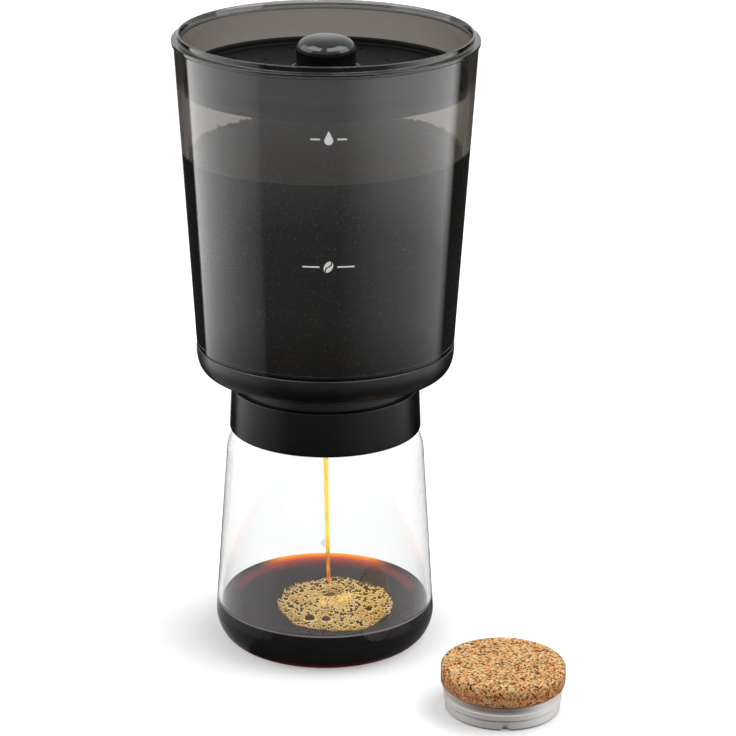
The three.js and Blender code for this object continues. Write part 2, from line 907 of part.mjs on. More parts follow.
function stopperCore() {
  const radius = stopper.sealRadius - stopper.sealWall - stopper.grooveDepth - fitGap;
  const hollow = radius - stopper.coreWall;
  const ceiling = stopper.plugHeight - stopper.coreTop;
  return turned(
    [
      [0, ceiling],
      [hollow, ceiling],
      [hollow, fitGap],
      [radius, fitGap],
      [radius, stopper.plugHeight],
      [0, stopper.plugHeight],
    ],
    midSides,
  );
}

// A soft sleeve with grooves between its bands, and a small notch at the front of its foot.
function stopperSeal() {
  const inner = stopper.sealRadius - stopper.sealWall - stopper.grooveDepth;
  const outline = [[inner, 0], [stopper.sealFootRadius - stopper.grooveDepth, 0]];
  outline.push([stopper.sealFootRadius, stopper.grooveDepth]);
  let radius = stopper.sealFootRadius;
  for (const share of sealBandShares) {
    const groove = stopper.plugHeight * share;
    outline.push([radius, groove - stopper.grooveHeight / 2]);
    outline.push([radius - stopper.grooveDepth, groove - stopper.grooveHeight / 4]);
    outline.push([radius - stopper.grooveDepth, groove + stopper.grooveHeight / 4]);
    radius = stopper.sealRadius;
    outline.push([radius, groove + stopper.grooveHeight / 2]);
  }
  outline.push([radius, stopper.plugHeight], [inner, stopper.plugHeight]);
  const sleeve = turned(outline, midSides, true);
  const notch = new THREE.BoxGeometry(stopper.notchWidth, stopper.sealWall, stopper.notchDepth * 2);
  notch.translate(0, -stopper.sealFootRadius, 0);
  return carved(sleeve, [], [notch]);
}

for (const [name, geometry, look] of [
  ['stopper_cork', stopperCork(), looks.cork],
  ['stopper_core', stopperCore(), looks.frosted],
  ['stopper_seal', stopperSeal(), looks.frosted],
]) {
  place(name, geometry, look).position.set(stopper.offsetX, stopper.offsetY, 0);
}

export default maker;
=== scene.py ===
import math
import random

import bpy
import numpy as np
from mathutils import Matrix, Vector, noise


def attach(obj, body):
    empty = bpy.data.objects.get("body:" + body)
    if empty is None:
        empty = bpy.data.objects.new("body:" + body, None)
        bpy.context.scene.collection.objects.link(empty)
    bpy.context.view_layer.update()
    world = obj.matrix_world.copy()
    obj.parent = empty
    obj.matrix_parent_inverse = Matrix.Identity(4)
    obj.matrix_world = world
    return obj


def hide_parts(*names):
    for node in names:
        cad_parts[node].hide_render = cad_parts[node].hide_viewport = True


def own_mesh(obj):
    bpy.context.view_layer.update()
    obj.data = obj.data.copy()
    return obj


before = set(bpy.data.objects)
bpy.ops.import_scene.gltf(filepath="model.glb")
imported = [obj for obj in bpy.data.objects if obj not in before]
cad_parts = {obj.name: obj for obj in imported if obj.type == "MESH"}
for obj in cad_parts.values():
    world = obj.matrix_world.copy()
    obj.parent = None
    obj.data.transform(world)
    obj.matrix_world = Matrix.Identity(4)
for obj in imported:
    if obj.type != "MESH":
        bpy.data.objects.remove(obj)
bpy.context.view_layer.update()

# Lengths are in millimetres where no note says metres. Heights are above the table, the viewer is on the -Y side.
mm = 0.001
scene = bpy.context.scene
scene.view_settings.view_transform = "Standard"


def colour(red, green, blue):  # 0-255 as seen on screen, to what a shader takes
    def straight(level):
        level /= 255
        return level / 12.92 if level <= 0.04045 else ((level + 0.055) / 1.055) ** 2.4
    return (straight(red), straight(green), straight(blue), 1)


def inked(tone):  # three levels become a colour, anything else stays
    return colour(*tone) if isinstance(tone, tuple) and len(tone) == 3 else tone


def lighter(shade, more):
    return tuple(min(level + more, 255) for level in shade)


def mix(a, b, share):
    return a + (b - a) * share


def sloped(height, low, high):  # radius of a straight wall between two spots of radius and height
    return mix(low[0], high[0], (height - low[1]) / (high[1] - low[1]))


def uneven(x, y, size, layer):  # smooth noise from -1 to 1
    return noise.noise(Vector((x / size, y / size, layer)))


# Helpers for finishes.

class Wire:  # one socket, with plain sums
    def __init__(self, bench, socket):
        self.bench, self.socket = bench, socket

    def __add__(self, other): return self.bench.reckon("ADD", self, other)
    def __radd__(self, other): return self.bench.reckon("ADD", other, self)
    def __sub__(self, other): return self.bench.reckon("SUBTRACT", self, other)
    def __rsub__(self, other): return self.bench.reckon("SUBTRACT", other, self)
    def __mul__(self, other): return self.bench.reckon("MULTIPLY", self, other)
    def __rmul__(self, other): return self.bench.reckon("MULTIPLY", other, self)


class Bench:  # the node tree of one finish
    def __init__(self, name, world=False):
        if world:
            self.holder = scene.world = bpy.data.worlds.new(name)
        else:
            self.holder = bpy.data.materials.new(name)
        self.holder.use_nodes = True
        self.tree = self.holder.node_tree
        self.tree.nodes.clear()

    def node(self, kind, settings=None, sockets=None, out=0):
        made = self.tree.nodes.new(kind)
        for key, value in (settings or {}).items():
            if key == "stops":
                ramp = made.color_ramp.elements
                while len(ramp) < len(value):
                    ramp.new(1)
                for stop, (place, shade) in zip(ramp, value):
                    stop.position, stop.color = place, shade
            else:
                setattr(made, key, value)
        for key, value in (sockets or {}).items():
            if isinstance(value, Wire):
                self.tree.links.new(value.socket, made.inputs[key])
            else:
                made.inputs[key].default_value = value
        return Wire(self, made.outputs[out]) if made.outputs else None

    def reckon(self, operation, *values):
        return self.node("ShaderNodeMath", {"operation": operation}, dict(enumerate(values)))

    def vector(self, operation, *values, out="Vector"):
        return self.node("ShaderNodeVectorMath", {"operation": operation}, dict(enumerate(values)), out)

    def here(self):  # place on the piece, in metres
        return self.node("ShaderNodeTexCoord", out="Object")

    def grain(self, size, detail=2.0, at=None, out=0):  # noise with features of about this many millimetres
        return self.node("ShaderNodeTexNoise", {}, {
            "Vector": at or self.here(), "Scale": 1 / (size * mm), "Detail": detail}, out)

    def cells(self, size, feature="F1", at=None, out="Distance"):
        return self.node("ShaderNodeTexVoronoi", {"feature": feature}, {
            "Vector": at or self.here(), "Scale": 1 / (size * mm)}, out)

    def patches(self, size, at=None):  # cells with one even grey each
        return self.node("ShaderNodeSeparateColor", {}, {0: self.cells(size, at=at, out="Color")}, 0)

    def between(self, value, low, high, start=0.0, end=1.0, kind="LINEAR"):
        return self.node("ShaderNodeMapRange", {"interpolation_type": kind}, {
            "Value": value, "From Min": low, "From Max": high, "To Min": start, "To Max": end})

    def shade(self, mask, first, second):  # first where the mask is 0, second where it is 1
        return self.node("ShaderNodeMix", {"data_type": "RGBA"}, {0: mask, 6: inked(first), 7: inked(second)}, 2)

    def ramp(self, value, stops):
        return self.node("ShaderNodeValToRGB", {"stops": [(place, inked(tone)) for place, tone in stops]}, {0: value})

    def along(self, axis):  # X is to the right, Y to the back, Z up
        return self.node("ShaderNodeSeparateXYZ", {}, {0: self.here()}, axis)

    def byHeight(self, low, high, start=0.0, end=1.0, kind="LINEAR"):
        return self.between(self.along("Z"), low, high, start, end, kind)

    def stretched(self, *factors):  # the place, squeezed by a factor on each axis
        return self.vector("MULTIPLY", self.here(), factors)

    def radius(self, x=0.0, y=0.0):  # distance from an upright axis
        flat = self.vector("MULTIPLY_ADD", self.here(), (1, 1, 0), (-x * mm, -y * mm, 0))
        return self.vector("LENGTH", flat, out="Value")

    def bump(self, height, depth, strength=1.0):
        return self.node("ShaderNodeBump", {}, {"Height": height, "Distance": depth * mm, "Strength": strength})

    def pitted(self, size, detail, depth, strength):
        return self.bump(self.grain(size, detail), depth, strength)

    def finish(self, values, soak=None, veil=None):  # soak: what the body swallows; veil: what its shadow lets by
        shader = self.node("ShaderNodeBsdfPrincipled", {}, values)
        if veil:
            through = self.node("ShaderNodeBsdfTransparent", {}, {"Color": veil})
            falls = self.node("ShaderNodeLightPath", out="Is Shadow Ray")
            shader = self.node("ShaderNodeMixShader", {}, {0: falls, 1: shader, 2: through})
        sockets = {"Surface": shader}
        if soak:
            sockets["Volume"] = self.node("ShaderNodeVolumeAbsorption", {}, {"Color": soak[0], "Density": soak[1]})
        self.node("ShaderNodeOutputMaterial", {}, sockets)
        return self.holder


# Helpers for meshes.

def rounded(outline, closed=True, steps=5):  # [radius, height, corner rounding] to plain points
    made = []
    last = len(outline) - 1
    for i, corner in enumerate(outline):
        at = Vector(corner[:2])
        size = corner[2] if len(corner) > 2 else 0
        if not size or (not closed and i in (0, last)):
            made.append(tuple(at))
            continue
        back = Vector(outline[i - 1][:2]) - at
        on = Vector(outline[(i + 1) % len(outline)][:2]) - at
        half = back.angle(on) / 2
        reach = min(size / max(math.tan(half), 0.05), back.length * 0.48, on.length * 0.48)
        start, end = at + back.normalized() * reach, at + on.normalized() * reach
        for step in range(steps + 1):
            t = step / steps
            made.append(tuple((1 - t) ** 2 * start + 2 * t * (1 - t) * at + t * t * end))
    return made


def squareArc(startR, startZ, endR, endZ, squareness, steps):  # quarter of a superellipse
    made = []
    for i in range(steps + 1):
        angle = math.pi / 2 * i / steps
        along, across = math.cos(angle) ** (2 / squareness), math.sin(angle) ** (2 / squareness)
        made.append((mix(endR, startR, along), mix(startZ, endZ, across)))
    return made


def steadied(outline, closed, reach=0.5):  # extra points near the ends of long runs, so that flat walls shade flat
    made = []
    for i, here in enumerate(outline):
        made.append(tuple(here[:2]))
        if i == len(outline) - 1 and not closed:
            break
        on = outline[(i + 1) % len(outline)]
        run = math.dist(here[:2], on[:2])
        if run > 4 * reach:
            made += [tuple(mix(here[k], on[k], share) for k in (0, 1)) for share in (reach / run, 1 - reach / run)]
    return made


def spun(outline, sides):  # points and faces of an outline turned about the axis
    closed = outline[0][0] > 1e-6
    outline = steadied(outline, closed)
    angles = [2 * math.pi * i / sides for i in range(sides)]
    points, rows = [], []
    for r, z in outline:
        if r <= 1e-6:
            rows.append([len(points)] * sides)
            points.append((0, 0, z))
        else:
            rows.append(list(range(len(points), len(points) + sides)))
            points += [(r * math.cos(a), r * math.sin(a), z) for a in angles]
    faces = []
    pairs = list(zip(rows, rows[1:])) + ([(rows[-1], rows[0])] if closed else [])
    for low, high in pairs:
        for i in range(sides):
            j = (i + 1) % sides
            corners = list(dict.fromkeys((low[i], low[j], high[j], high[i])))
            if len(corners) > 2:
                faces.append(corners)
    return points, faces


def made(name, points, faces, material, sharp=35, shift=(0, 0)):
    mesh = bpy.data.meshes.new(name)
    spots = np.array(points, float) * mm + np.array([shift[0], shift[1], 0]) * mm
    mesh.from_pydata(spots.tolist(), [], faces)
    mesh.validate()
    mesh.shade_smooth()
    mesh.set_sharp_from_angle(angle=math.radians(sharp))
    mesh.materials.append(material)
    piece = bpy.data.objects.new(name, mesh)
    scene.collection.objects.link(piece)
    return piece


def fitted(piece, body, slot, *nodes):
    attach(piece, body)
    if nodes:
        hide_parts(*nodes)
    return piece


def circle(x, y, z, r, sides):
    angles = [2 * math.pi * i / sides for i in range(sides)]
    return [(x + r * math.cos(angle), y + r * math.sin(angle), z) for angle in angles]


def bands(rows, sides, start=0):  # faces between rings of points
    faces = []
    for k in range(rows):
        for i in range(sides):
            a, b = start + k * sides + i, start + k * sides + (i + 1) % sides
            faces.append((a, a + sides, b + sides, b))
    return faces


def inward(x, y, way):
    share = 1 - way / math.hypot(x, y)
    return x * share, y * share


def joined(parts):  # several (points, faces) lists as one
    points, faces = [], []
    for morePoints, moreFaces in parts:
        start = len(points)
        points += [tuple(p) for p in morePoints]
        faces += [[start + i for i in face] for face in moreFaces]
    return points, faces


def pebble(at, size, rng):  # a small rough crumb
    golden = (1 + 5 ** 0.5) / 2
    corners = [(-1, golden, 0), (1, golden, 0), (-1, -golden, 0), (1, -golden, 0), (0, -1, golden), (0, 1, golden),
        (0, -1, -golden), (0, 1, -golden), (golden, 0, -1), (golden, 0, 1), (-golden, 0, -1), (-golden, 0, 1)]
    faces = [(0, 11, 5), (0, 5, 1), (0, 1, 7), (0, 7, 10), (0, 10, 11), (1, 5, 9), (5, 11, 4), (11, 10, 2),
        (10, 7, 6), (7, 1, 8), (3, 9, 4), (3, 4, 2), (3, 2, 6), (3, 6, 8), (3, 8, 9), (4, 9, 5), (2, 4, 11),
        (6, 2, 10), (8, 6, 7), (9, 8, 1)]
    turn = rng.uniform(0, math.pi)
    points = []
    for x, y, z in corners:
        grow = size / 1.9 * rng.uniform(0.75, 1.25)
        points.append((at[0] + grow * (x * math.cos(turn) - y * math.sin(turn)),
            at[1] + grow * (x * math.sin(turn) + y * math.cos(turn)), at[2] + grow * z))
    return points, faces


# The camera, where the photograph was taken from.

viewer = {"height": 641.25, "distance": 1425, "pitch": 19.36, "yaw": 0.844, "roll": -0.40, "lens": 149.9}

pitch, yaw, roll = (math.radians(viewer[name]) for name in ("pitch", "yaw", "roll"))
forward = Vector((math.sin(yaw) * math.cos(pitch), math.cos(yaw) * math.cos(pitch), -math.sin(pitch)))
level = Vector((math.cos(yaw), -math.sin(yaw), 0))
down = forward.cross(level)
right = math.cos(roll) * level + math.sin(roll) * down
below = -math.sin(roll) * level + math.cos(roll) * down
lookout = bpy.data.cameras.new("viewer")
lookout.lens, lookout.sensor_width, lookout.sensor_fit = viewer["lens"], 36, "HORIZONTAL"
lookout.clip_start, lookout.clip_end = 0.05, 60
camera = bpy.data.objects.new("viewer", lookout)
scene.collection.objects.link(camera)
turnedTo = [[right[i], -below[i], -forward[i]] for i in range(3)]
standsAt = Vector((0, -viewer["distance"], viewer["height"])) * mm
camera.matrix_world = Matrix.Translation(standsAt) @ Matrix(turnedTo).to_4x4()
scene.camera = camera
print("camera set")

# Floor, air and lamps, these placed in metres.

# What a gloss mirrors depends on where its ray meets the floor, so the levels below go by reach, in metres.
openRoom = {"left": (1.9, 3.7), "right": (2.8, 3.5), "front": 1.4, "edge": 0.03, "back": 1.8}
studio = {"surroundings": 0.5, "floorColour": (225, 225, 226), "floorLift": 0.46, "floorSize": 9000, "shine": 5.0,
    "levels": [
        (0.33, {"left": (0.16, 0.5), "right": (0.06, 0.2), "front": 0.003, "edge": 0.01, "back": 1.3}),
        (0.455, {"left": (0.8, 2.2), "right": (0.85, 1.3), "front": 0.32, "edge": 0.03, "back": 2.4}),
        (0.585, {"left": (0.85, 3.0), "right": (1.1, 1.6), "front": 0.42, "edge": 0.03, "back": 2.2}),
        (0.80, openRoom), (1.262, openRoom),
        (1.292, {"left": (1.1, 3.4), "right": (0.3, 3.4), "front": 0.1, "edge": 0.03, "back": 1.8})],
    "paintedContactShadow": {"carafe": (-4, 0, 55, 82, 0.42), "stopper": (81.8, -91.5, 27, 41, 0.55)}}


def lookedAt(bench, *kinds):  # 1 where the eye, or a gloss or a see-through piece, looks at it
    found = None
    for kind in kinds:
        ray = bench.node("ShaderNodeLightPath", out=f"Is {kind} Ray")
        found = ray if found is None else bench.reckon("MAXIMUM", found, ray)
    return found


def mirrored(bench, turn, levels):  # what a gloss shows by direction: dark in front, a softbox on either side
    stops = [(-180, levels["back"]), (-163, levels["back"]), (-157, levels["edge"]), (-127, levels["edge"]),
        (-124, levels["left"][1]), (-95, levels["left"][1] * 0.8), (-53, levels["left"][0]), (-49, levels["front"]),
        (12, levels["front"]), (44, levels["right"][0]), (88, levels["right"][1]), (108, levels["right"][1]),
        (120, levels["edge"]), (160, levels["edge"]), (166, levels["back"]), (180, levels["back"])]
    return bench.ramp(turn, [(degrees / 360 + 0.5, (level / 5, level / 5, level / 5, 1)) for degrees, level in stops])


air = Bench("studioAir", world=True)
seen = lookedAt(air, "Camera", "Glossy", "Transmission")
air.node("ShaderNodeOutputWorld", {}, {"Surface": air.node("ShaderNodeBackground", {}, {
    "Color": (1, 1, 1, 1), "Strength": air.between(seen, 0, 1, studio["surroundings"], 1)})})

sweep = Bench("paperSweep")
paper = sweep.node("ShaderNodeBsdfDiffuse", {}, {"Color": colour(*studio["floorColour"])})
lift = sweep.between(sweep.radius(), 0.3, 1.1, studio["floorLift"], 0.85)  # the far paper stays white too
# Less lift close by: a painted contact shadow, so that the shadows meet the feet.
for x, y, fromReach, toReach, share in studio["paintedContactShadow"].values():
    lift = lift * sweep.between(sweep.radius(x, y), fromReach * mm, toReach * mm, 1 - share, 1.0)
glow = sweep.node("ShaderNodeEmission", {}, {
    "Color": (1, 1, 1, 1), "Strength": lookedAt(sweep, "Camera", "Transmission") * lift})
bright = sweep.node("ShaderNodeAddShader", {}, {0: paper, 1: glow})
bearing = sweep.reckon("ARCTAN2", sweep.along("X"), sweep.along("Y") * -1)
turn = bearing * (1 / (2 * math.pi)) + 0.5
reach, levels = studio["levels"][0]
reflected = mirrored(sweep, turn, levels)
for farther, levels in studio["levels"][1:]:
    reflected = sweep.shade(sweep.between(sweep.radius(), reach, farther), reflected, mirrored(sweep, turn, levels))
    reach = farther
shine = sweep.node("ShaderNodeEmission", {}, {"Strength": studio["shine"], "Color": reflected})
mirrorOnly = lookedAt(sweep, "Glossy") * (1 - lookedAt(sweep, "Transmission"))
sweep.node("ShaderNodeOutputMaterial", {}, {"Surface": sweep.node("ShaderNodeMixShader", {}, {
    0: mirrorOnly, 1: bright, 2: shine})})
half = studio["floorSize"]
made("floor", [(-half, -half, 0), (half, -half, 0), (half, half, 0), (-half, half, 0)], [(0, 1, 2, 3)],
    sweep.holder)


def softbox(name, place, aim, width, height, watts, mirroredToo=True):
    data = bpy.data.lights.new(name, "AREA")
    data.shape, data.size, data.size_y, data.energy = "RECTANGLE", width, height, watts
    lamp = bpy.data.objects.new(name, data)
    scene.collection.objects.link(lamp)
    lamp.location = place
    lamp.visible_glossy = mirroredToo
    lamp.rotation_mode = "QUATERNION"
    lamp.rotation_quaternion = (Vector(aim) - Vector(place)).to_track_quat("-Z", "Y")


softbox("boxLeft", (-1.25, -0.02, 0.72), (0, 0, 0.2), 1.5, 1.15, 10.0)
softbox("boxRight", (1.25, -0.25, 0.76), (0, 0, 0.2), 1.1, 1.15, 10.5)
softbox("boxAbove", (0.75, 0.35, 1.6), (0, 0, 0.1), 0.7, 0.7, 6, False)

cards = {"glow": 5.5, "reach": 1300, "height": 300, "rise": (30, 62), "rows": 6, "columns": 12}
shineCard = Bench("shineCard")
shineCard.node("ShaderNodeOutputMaterial", {}, {
    "Surface": shineCard.node("ShaderNodeEmission", {}, {"Strength": cards["glow"]})})


def reflector(name, fromTurn, toTurn):  # a curved card seen only in glosses: the patches on the knob
    points, faces = [], []
    reach, rows, columns = cards["reach"], cards["rows"], cards["columns"]
    wide = columns + 1
    for k in range(rows + 1):
        rise = math.radians(mix(*cards["rise"], k / rows))
        for i in range(wide):
            turn = math.radians(mix(fromTurn, toTurn, i / columns))
            points.append((reach * math.sin(turn) * math.cos(rise), -reach * math.cos(turn) * math.cos(rise),
                cards["height"] + reach * math.sin(rise)))
    for k in range(rows):
        faces += [(k * wide + i, k * wide + i + 1, (k + 1) * wide + i + 1, (k + 1) * wide + i) for i in range(columns)]
    card = made(name, points, faces, shineCard.holder)
    card.visible_camera = card.visible_diffuse = card.visible_transmission = False
    card.visible_shadow = card.visible_volume_scatter = False


reflector("reflectorLeft", -95, -24)
reflector("reflectorRight", 4, 98)
print("floor and lamps set")


# Finishes. Heights and distances in them are in metres, the sizes of grains in millimetres.

def clearGlass():
    bench = Bench("clearGlass")
    waves = bench.pitted(40, 1, 0.06, 0.3)
    smear = bench.between(bench.grain(14, 3), 0.5, 0.8, 0.0, 0.02)
    tint = bench.shade(bench.grain(20, 2), (0.945, 0.95, 0.95, 1), (0.965, 0.97, 0.968, 1))
    return bench.finish({"Base Color": tint, "Roughness": smear, "IOR": 1.46, "Specular IOR Level": 0.9,
        "Transmission Weight": 1.0, "Normal": waves}, ((0.2, 0.22, 0.2, 1), 8), (0.94, 0.94, 0.94, 1))


# The plastic is darker from the distributor up, and darkest in the lid ring.
smoke = {"body": (0.985, 0.945, 0.92, 1), "band": (0.35, 0.325, 0.285, 1), "ring": (0.30, 0.292, 0.28, 1),
    "bandFrom": 0.283, "bandTo": 0.290, "ringFrom": 0.3042, "ringTo": 0.3050, "satin": 0.05,
    "soak": (0.13, 0.11, 0.06, 1), "density": 240}


def smokedPlastic():
    bench = Bench("smokedPlastic")
    waves = bench.pitted(60, 1, 0.2, 0.15)
    ring = bench.byHeight(smoke["ringFrom"], smoke["ringTo"])
    smear = bench.between(bench.grain(9, 4), 0.5, 0.8, 0.0, 0.03) + ring * smoke["satin"]
    upper = bench.byHeight(smoke["bandFrom"], smoke["bandTo"], kind="SMOOTHSTEP")
    tint = bench.shade(ring, bench.shade(upper, smoke["body"], smoke["band"]), smoke["ring"])
    return bench.finish({"Base Color": tint, "Roughness": smear, "IOR": 1.49, "Specular IOR Level": 1.0,
        "Transmission Weight": 1.0, "Normal": waves}, (smoke["soak"], smoke["density"]), (0.96, 0.96, 0.96, 1))


def mouldedBlack(name, roughness, dark, depth=0.02, gloss=0.5):
    bench = Bench(name)
    cloud = bench.grain(12, 3)
    tone = bench.shade(cloud, dark, lighter(dark, 4))
    fine = bench.pitted(0.35, 2, depth, 0.5)
    return bench.finish({"Base Color": tone, "IOR": 1.5, "Specular IOR Level": gloss, "Normal": fine,
        "Roughness": bench.between(cloud, 0.3, 0.7, roughness - 0.03, roughness + 0.03)})


def dishBlack():  # dull, with a painted highlight on the edge of the collar round the knob
    bench = Bench("dishBlack")
    cloud = bench.grain(12, 3)
    # a painted highlight on the top edge of the collar round the knob
    edge = bench.byHeight(0.2921, 0.2923) * bench.between(bench.radius(), 0.0176, 0.0180, 1.0, 0.0)
    tone = bench.shade(edge, bench.shade(cloud, (9, 9, 10), (13, 13, 14)), (120, 120, 122))
    return bench.finish({"Base Color": tone, "Roughness": bench.between(cloud, 0.3, 0.7, 0.46, 0.54), "IOR": 1.5,
        "Specular IOR Level": 0.08, "Normal": bench.pitted(0.35, 2, 0.02, 0.5)})


def softGrey(name, shade, roughness=0.55, glow=0.0):
    bench = Bench(name)
    cloud = bench.grain(6, 3)
    return bench.finish({"Base Color": bench.shade(cloud, shade, lighter(shade, 9)), "Roughness": roughness,
        "Normal": bench.pitted(0.5, 2, 0.03, 0.4), "Emission Color": colour(*shade), "Emission Strength": glow})


def brushedSteel():
    bench = Bench("brushedSteel")
    lines = bench.grain(1.5, 3, bench.stretched(1, 1, 14))
    return bench.finish({"Base Color": bench.shade(lines, (176, 177, 180), (206, 207, 209)), "Metallic": 1.0,
        "Roughness": bench.between(lines, 0.3, 0.7, 0.24, 0.36), "Normal": bench.bump(lines, 0.01, 0.4)})


def wovenScreen():
    bench = Bench("wovenScreen")
    warp, weft = (bench.node("ShaderNodeTexWave", {"bands_direction": axis}, {"Vector": bench.here(), "Scale": 500.0})
                  for axis in ("X", "Y"))
    weave = bench.reckon("MAXIMUM", warp, weft)
    wire = bench.between(weave, 0.4, 0.8)
    return bench.finish({"Base Color": bench.shade(wire, (40, 38, 36), (190, 190, 192)), "Metallic": wire,
        "Roughness": 0.34, "Normal": bench.bump(weave, 0.1, 0.8)})


finishes = {
    "clearGlass": clearGlass(),
    "smoke": smokedPlastic(),
    "satinBlack": mouldedBlack("satinBlack", 0.26, (2, 2, 3), 0.02, 0.2),
    "bowlBlack": mouldedBlack("bowlBlack", 0.3, (11, 11, 12), 0.02, 0.4),
    "dishBlack": dishBlack(),
    "glossBlack": mouldedBlack("glossBlack", 0.1, (10, 10, 11), 0.002),
    "darkSilicone": softGrey("darkSilicone", (58, 58, 60)),
    "steel": brushedSteel(),
    "screen": wovenScreen(),
}
hidden = {  # the pieces shown by their own solids
    "satinBlack": ["valve_actuator", "drain_plate", "filter_frame"],
    "steel": ["valve_stem", "valve_clip", "valve_spring", "knob_screw"] + [f"base_screw_{i}" for i in range(1, 5)],
    "darkSilicone": ["valve_seal", "base_seal", "neck_gasket", "valve_seat", "filter_gasket"],
    "screen": ["filter_mesh"],
}
for finish, nodes in hidden.items():
    for node in nodes:
        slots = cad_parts[node].data.materials
        slots.clear()
        slots.append(finishes[finish])
print("finishes mixed")

# The glass carafe.

carafe = {"footRadius": 46.2, "widest": 54.7, "widestHeight": 13.5, "heelSquareness": 1.8, "shoulder": 49.1,
    "shoulderHeight": 96, "throat": 35, "shoulderRise": 20, "neck": 31.5, "neckStart": 120, "rim": 134, "wall": 2.4,
    "neckWall": 2.6, "floor": 5, "sides": 192}


def glassRadius(height):
    return sloped(height, (carafe["widest"], carafe["widestHeight"]), (carafe["shoulder"], carafe["shoulderHeight"]))


def innerHeel():
    top = carafe["widestHeight"] + carafe["floor"]
    return squareArc(glassRadius(top) - carafe["wall"], top, carafe["footRadius"] - carafe["wall"], carafe["floor"],
        carafe["heelSquareness"], 14)


def glassOutline():
    shoulder, throat, neck, rim, wall = (carafe[name] for name in ("shoulder", "throat", "neck", "rim", "wall"))
    bend = carafe["shoulderHeight"]
    rise = bend + carafe["shoulderRise"]
    innerNeck, lip = neck - carafe["neckWall"], carafe["neckWall"] * 0.49
    heel = squareArc(carafe["widest"], carafe["widestHeight"], carafe["footRadius"], 0, carafe["heelSquareness"], 16)
    outer = squareArc(shoulder, bend, throat, rise, 2, 16)
    inner = squareArc(shoulder - wall, bend, throat, rise - wall, 2, 16)
    spout = rounded([(throat, rise), (neck, carafe["neckStart"], 3), (neck, rim, lip), (innerNeck, rim, lip),
        (innerNeck, carafe["neckStart"] - wall, 3), (throat, rise - wall)], closed=False)
    return [(0, 0)] + heel[::-1] + outer + spout[1:-1] + inner[::-1] + innerHeel() + [(0, carafe["floor"])]


glass = made("carafeGlass", *spun(glassOutline(), carafe["sides"]), finishes["clearGlass"], 60)
fitted(glass, "carafe", "clear_glass", "carafe_glass")
print("carafe blown")

# Coffee in the carafe.

brew = {"level": 19.5, "meniscus": 0.7, "meniscusWidth": 1.8, "touch": 0.06, "skin": 0.8}


def brewedCoffee():
    bench = Bench("brewedCoffee")
    ahead, spread = bench.along("Y"), bench.reckon("ABSOLUTE", bench.along("X"))
    behind = bench.between(ahead, 0.022, 0.036, kind="SMOOTHSTEP")  # painted glow at the back, in the middle: the light shining through the thin edge of the coffee
    behind = behind * bench.between(spread, 0.020, 0.036, 1.0, 0.0, "SMOOTHSTEP")
    paintedBackGlow = bench.ramp(bench.between(bench.radius(), 0.030, 0.0525), [
        (0.0, (26, 16, 13)), (0.35, (58, 24, 18)), (0.58, (108, 34, 22)), (0.74, (168, 52, 18)),
        (0.86, (222, 92, 8)), (0.94, (250, 140, 6)), (1.0, (255, 188, 30))])
    # reddish arcs at the sides of the rim: painted light through the thin edge
    paintedSideArcs = bench.shade(bench.between(ahead, -0.002, 0.020, kind="SMOOTHSTEP"), (30, 20, 18), (108, 32, 25))
    # the light line at the front of the rim is a painted highlight
    rimWithHighlight = bench.ramp(bench.between(bench.radius(), 0.030, 0.0528), [
        (0.0, (24, 16, 14)), (0.88, (36, 27, 25)), (0.965, (60, 50, 47)),
        (0.985, (176, 172, 170)), (1.0, (190, 186, 184))])
    red = bench.ramp(bench.between(bench.radius(), 0.0405, 0.0495), [
        (0.0, (0, 0, 0, 1)), (0.45, (1, 1, 1, 1)), (0.7, (0.6, 0.6, 0.6, 1)), (1.0, (0, 0, 0, 1))])
    onTop = bench.byHeight(0.0188, 0.0193)
    foot = bench.byHeight(0.0008, 0.0046, 1.0, 0.0, "SMOOTHSTEP")
    body = bench.shade(foot, (14, 11, 11), (120, 40, 32))
    rim = bench.shade(behind, bench.shade(red, rimWithHighlight, paintedSideArcs), paintedBackGlow)
    # the glow at the back is also emitted as painted light
    paintedLight = bench.shade(behind * onTop, (0, 0, 0), paintedBackGlow)
    return bench.finish({"Base Color": bench.shade(onTop, body, rim), "Roughness": 0.05, "IOR": 1.33,
        "Specular IOR Level": 0.14, "Normal": bench.pitted(9, 1, 0.02, 0.2), "Emission Color": paintedLight,
        "Emission Strength": 0.22})


def coffeeHeel():  # right out to the outside of the glass, as the liquid looks there
    deep = brew["skin"]
    return squareArc(carafe["widest"] - deep, carafe["widestHeight"] + 1, carafe["footRadius"] - deep * 0.6, deep,
        carafe["heelSquareness"], 14)


wallAt = glassRadius(brew["level"]) - carafe["wall"] + brew["touch"]
surface = [(wallAt - 0.02, brew["level"] + brew["meniscus"])]
for step in range(1, 9):
    away = brew["meniscusWidth"] * step / 8
    surface.append((wallAt - away, brew["level"] + brew["meniscus"] * math.exp(-3.4 * step / 8)))
coffeeOutline = coffeeHeel()[::-1] + surface + [(r, brew["level"]) for r in (44, 36, 24, 12)]
coffeeOutline = [(0, brew["skin"])] + coffeeOutline + [(0, brew["level"])]
coffee = made("coffeeInCarafe", *spun(coffeeOutline, 192), brewedCoffee(), 60)
fitted(coffee, "carafe", "coffee", "brewed_coffee")

# Foam on the coffee.

foam = {"centre": (5.0, -12.4), "halfWidth": 30.3, "halfDepth": 34, "height": 2.1, "crater": (2.6, -1.6),
    "craterWidth": 5.4, "bubbles": 1500, "seed": 7, "large": ((-7.4, -34.3, 2.8), (0.6, -35.2, 2.5),
    (21.8, -23.3, 1.6), (-16.9, -19.7, 1.5), (-11.8, -0.6, 1.4), (20.7, 4.2, 1.5), (10.2, 15.5, 1.3),
    (-5.1, 12.7, 1.2), (-19.5, -10.5, 1.2), (27.5, -9, 1.3), (13, -40, 1.2))}


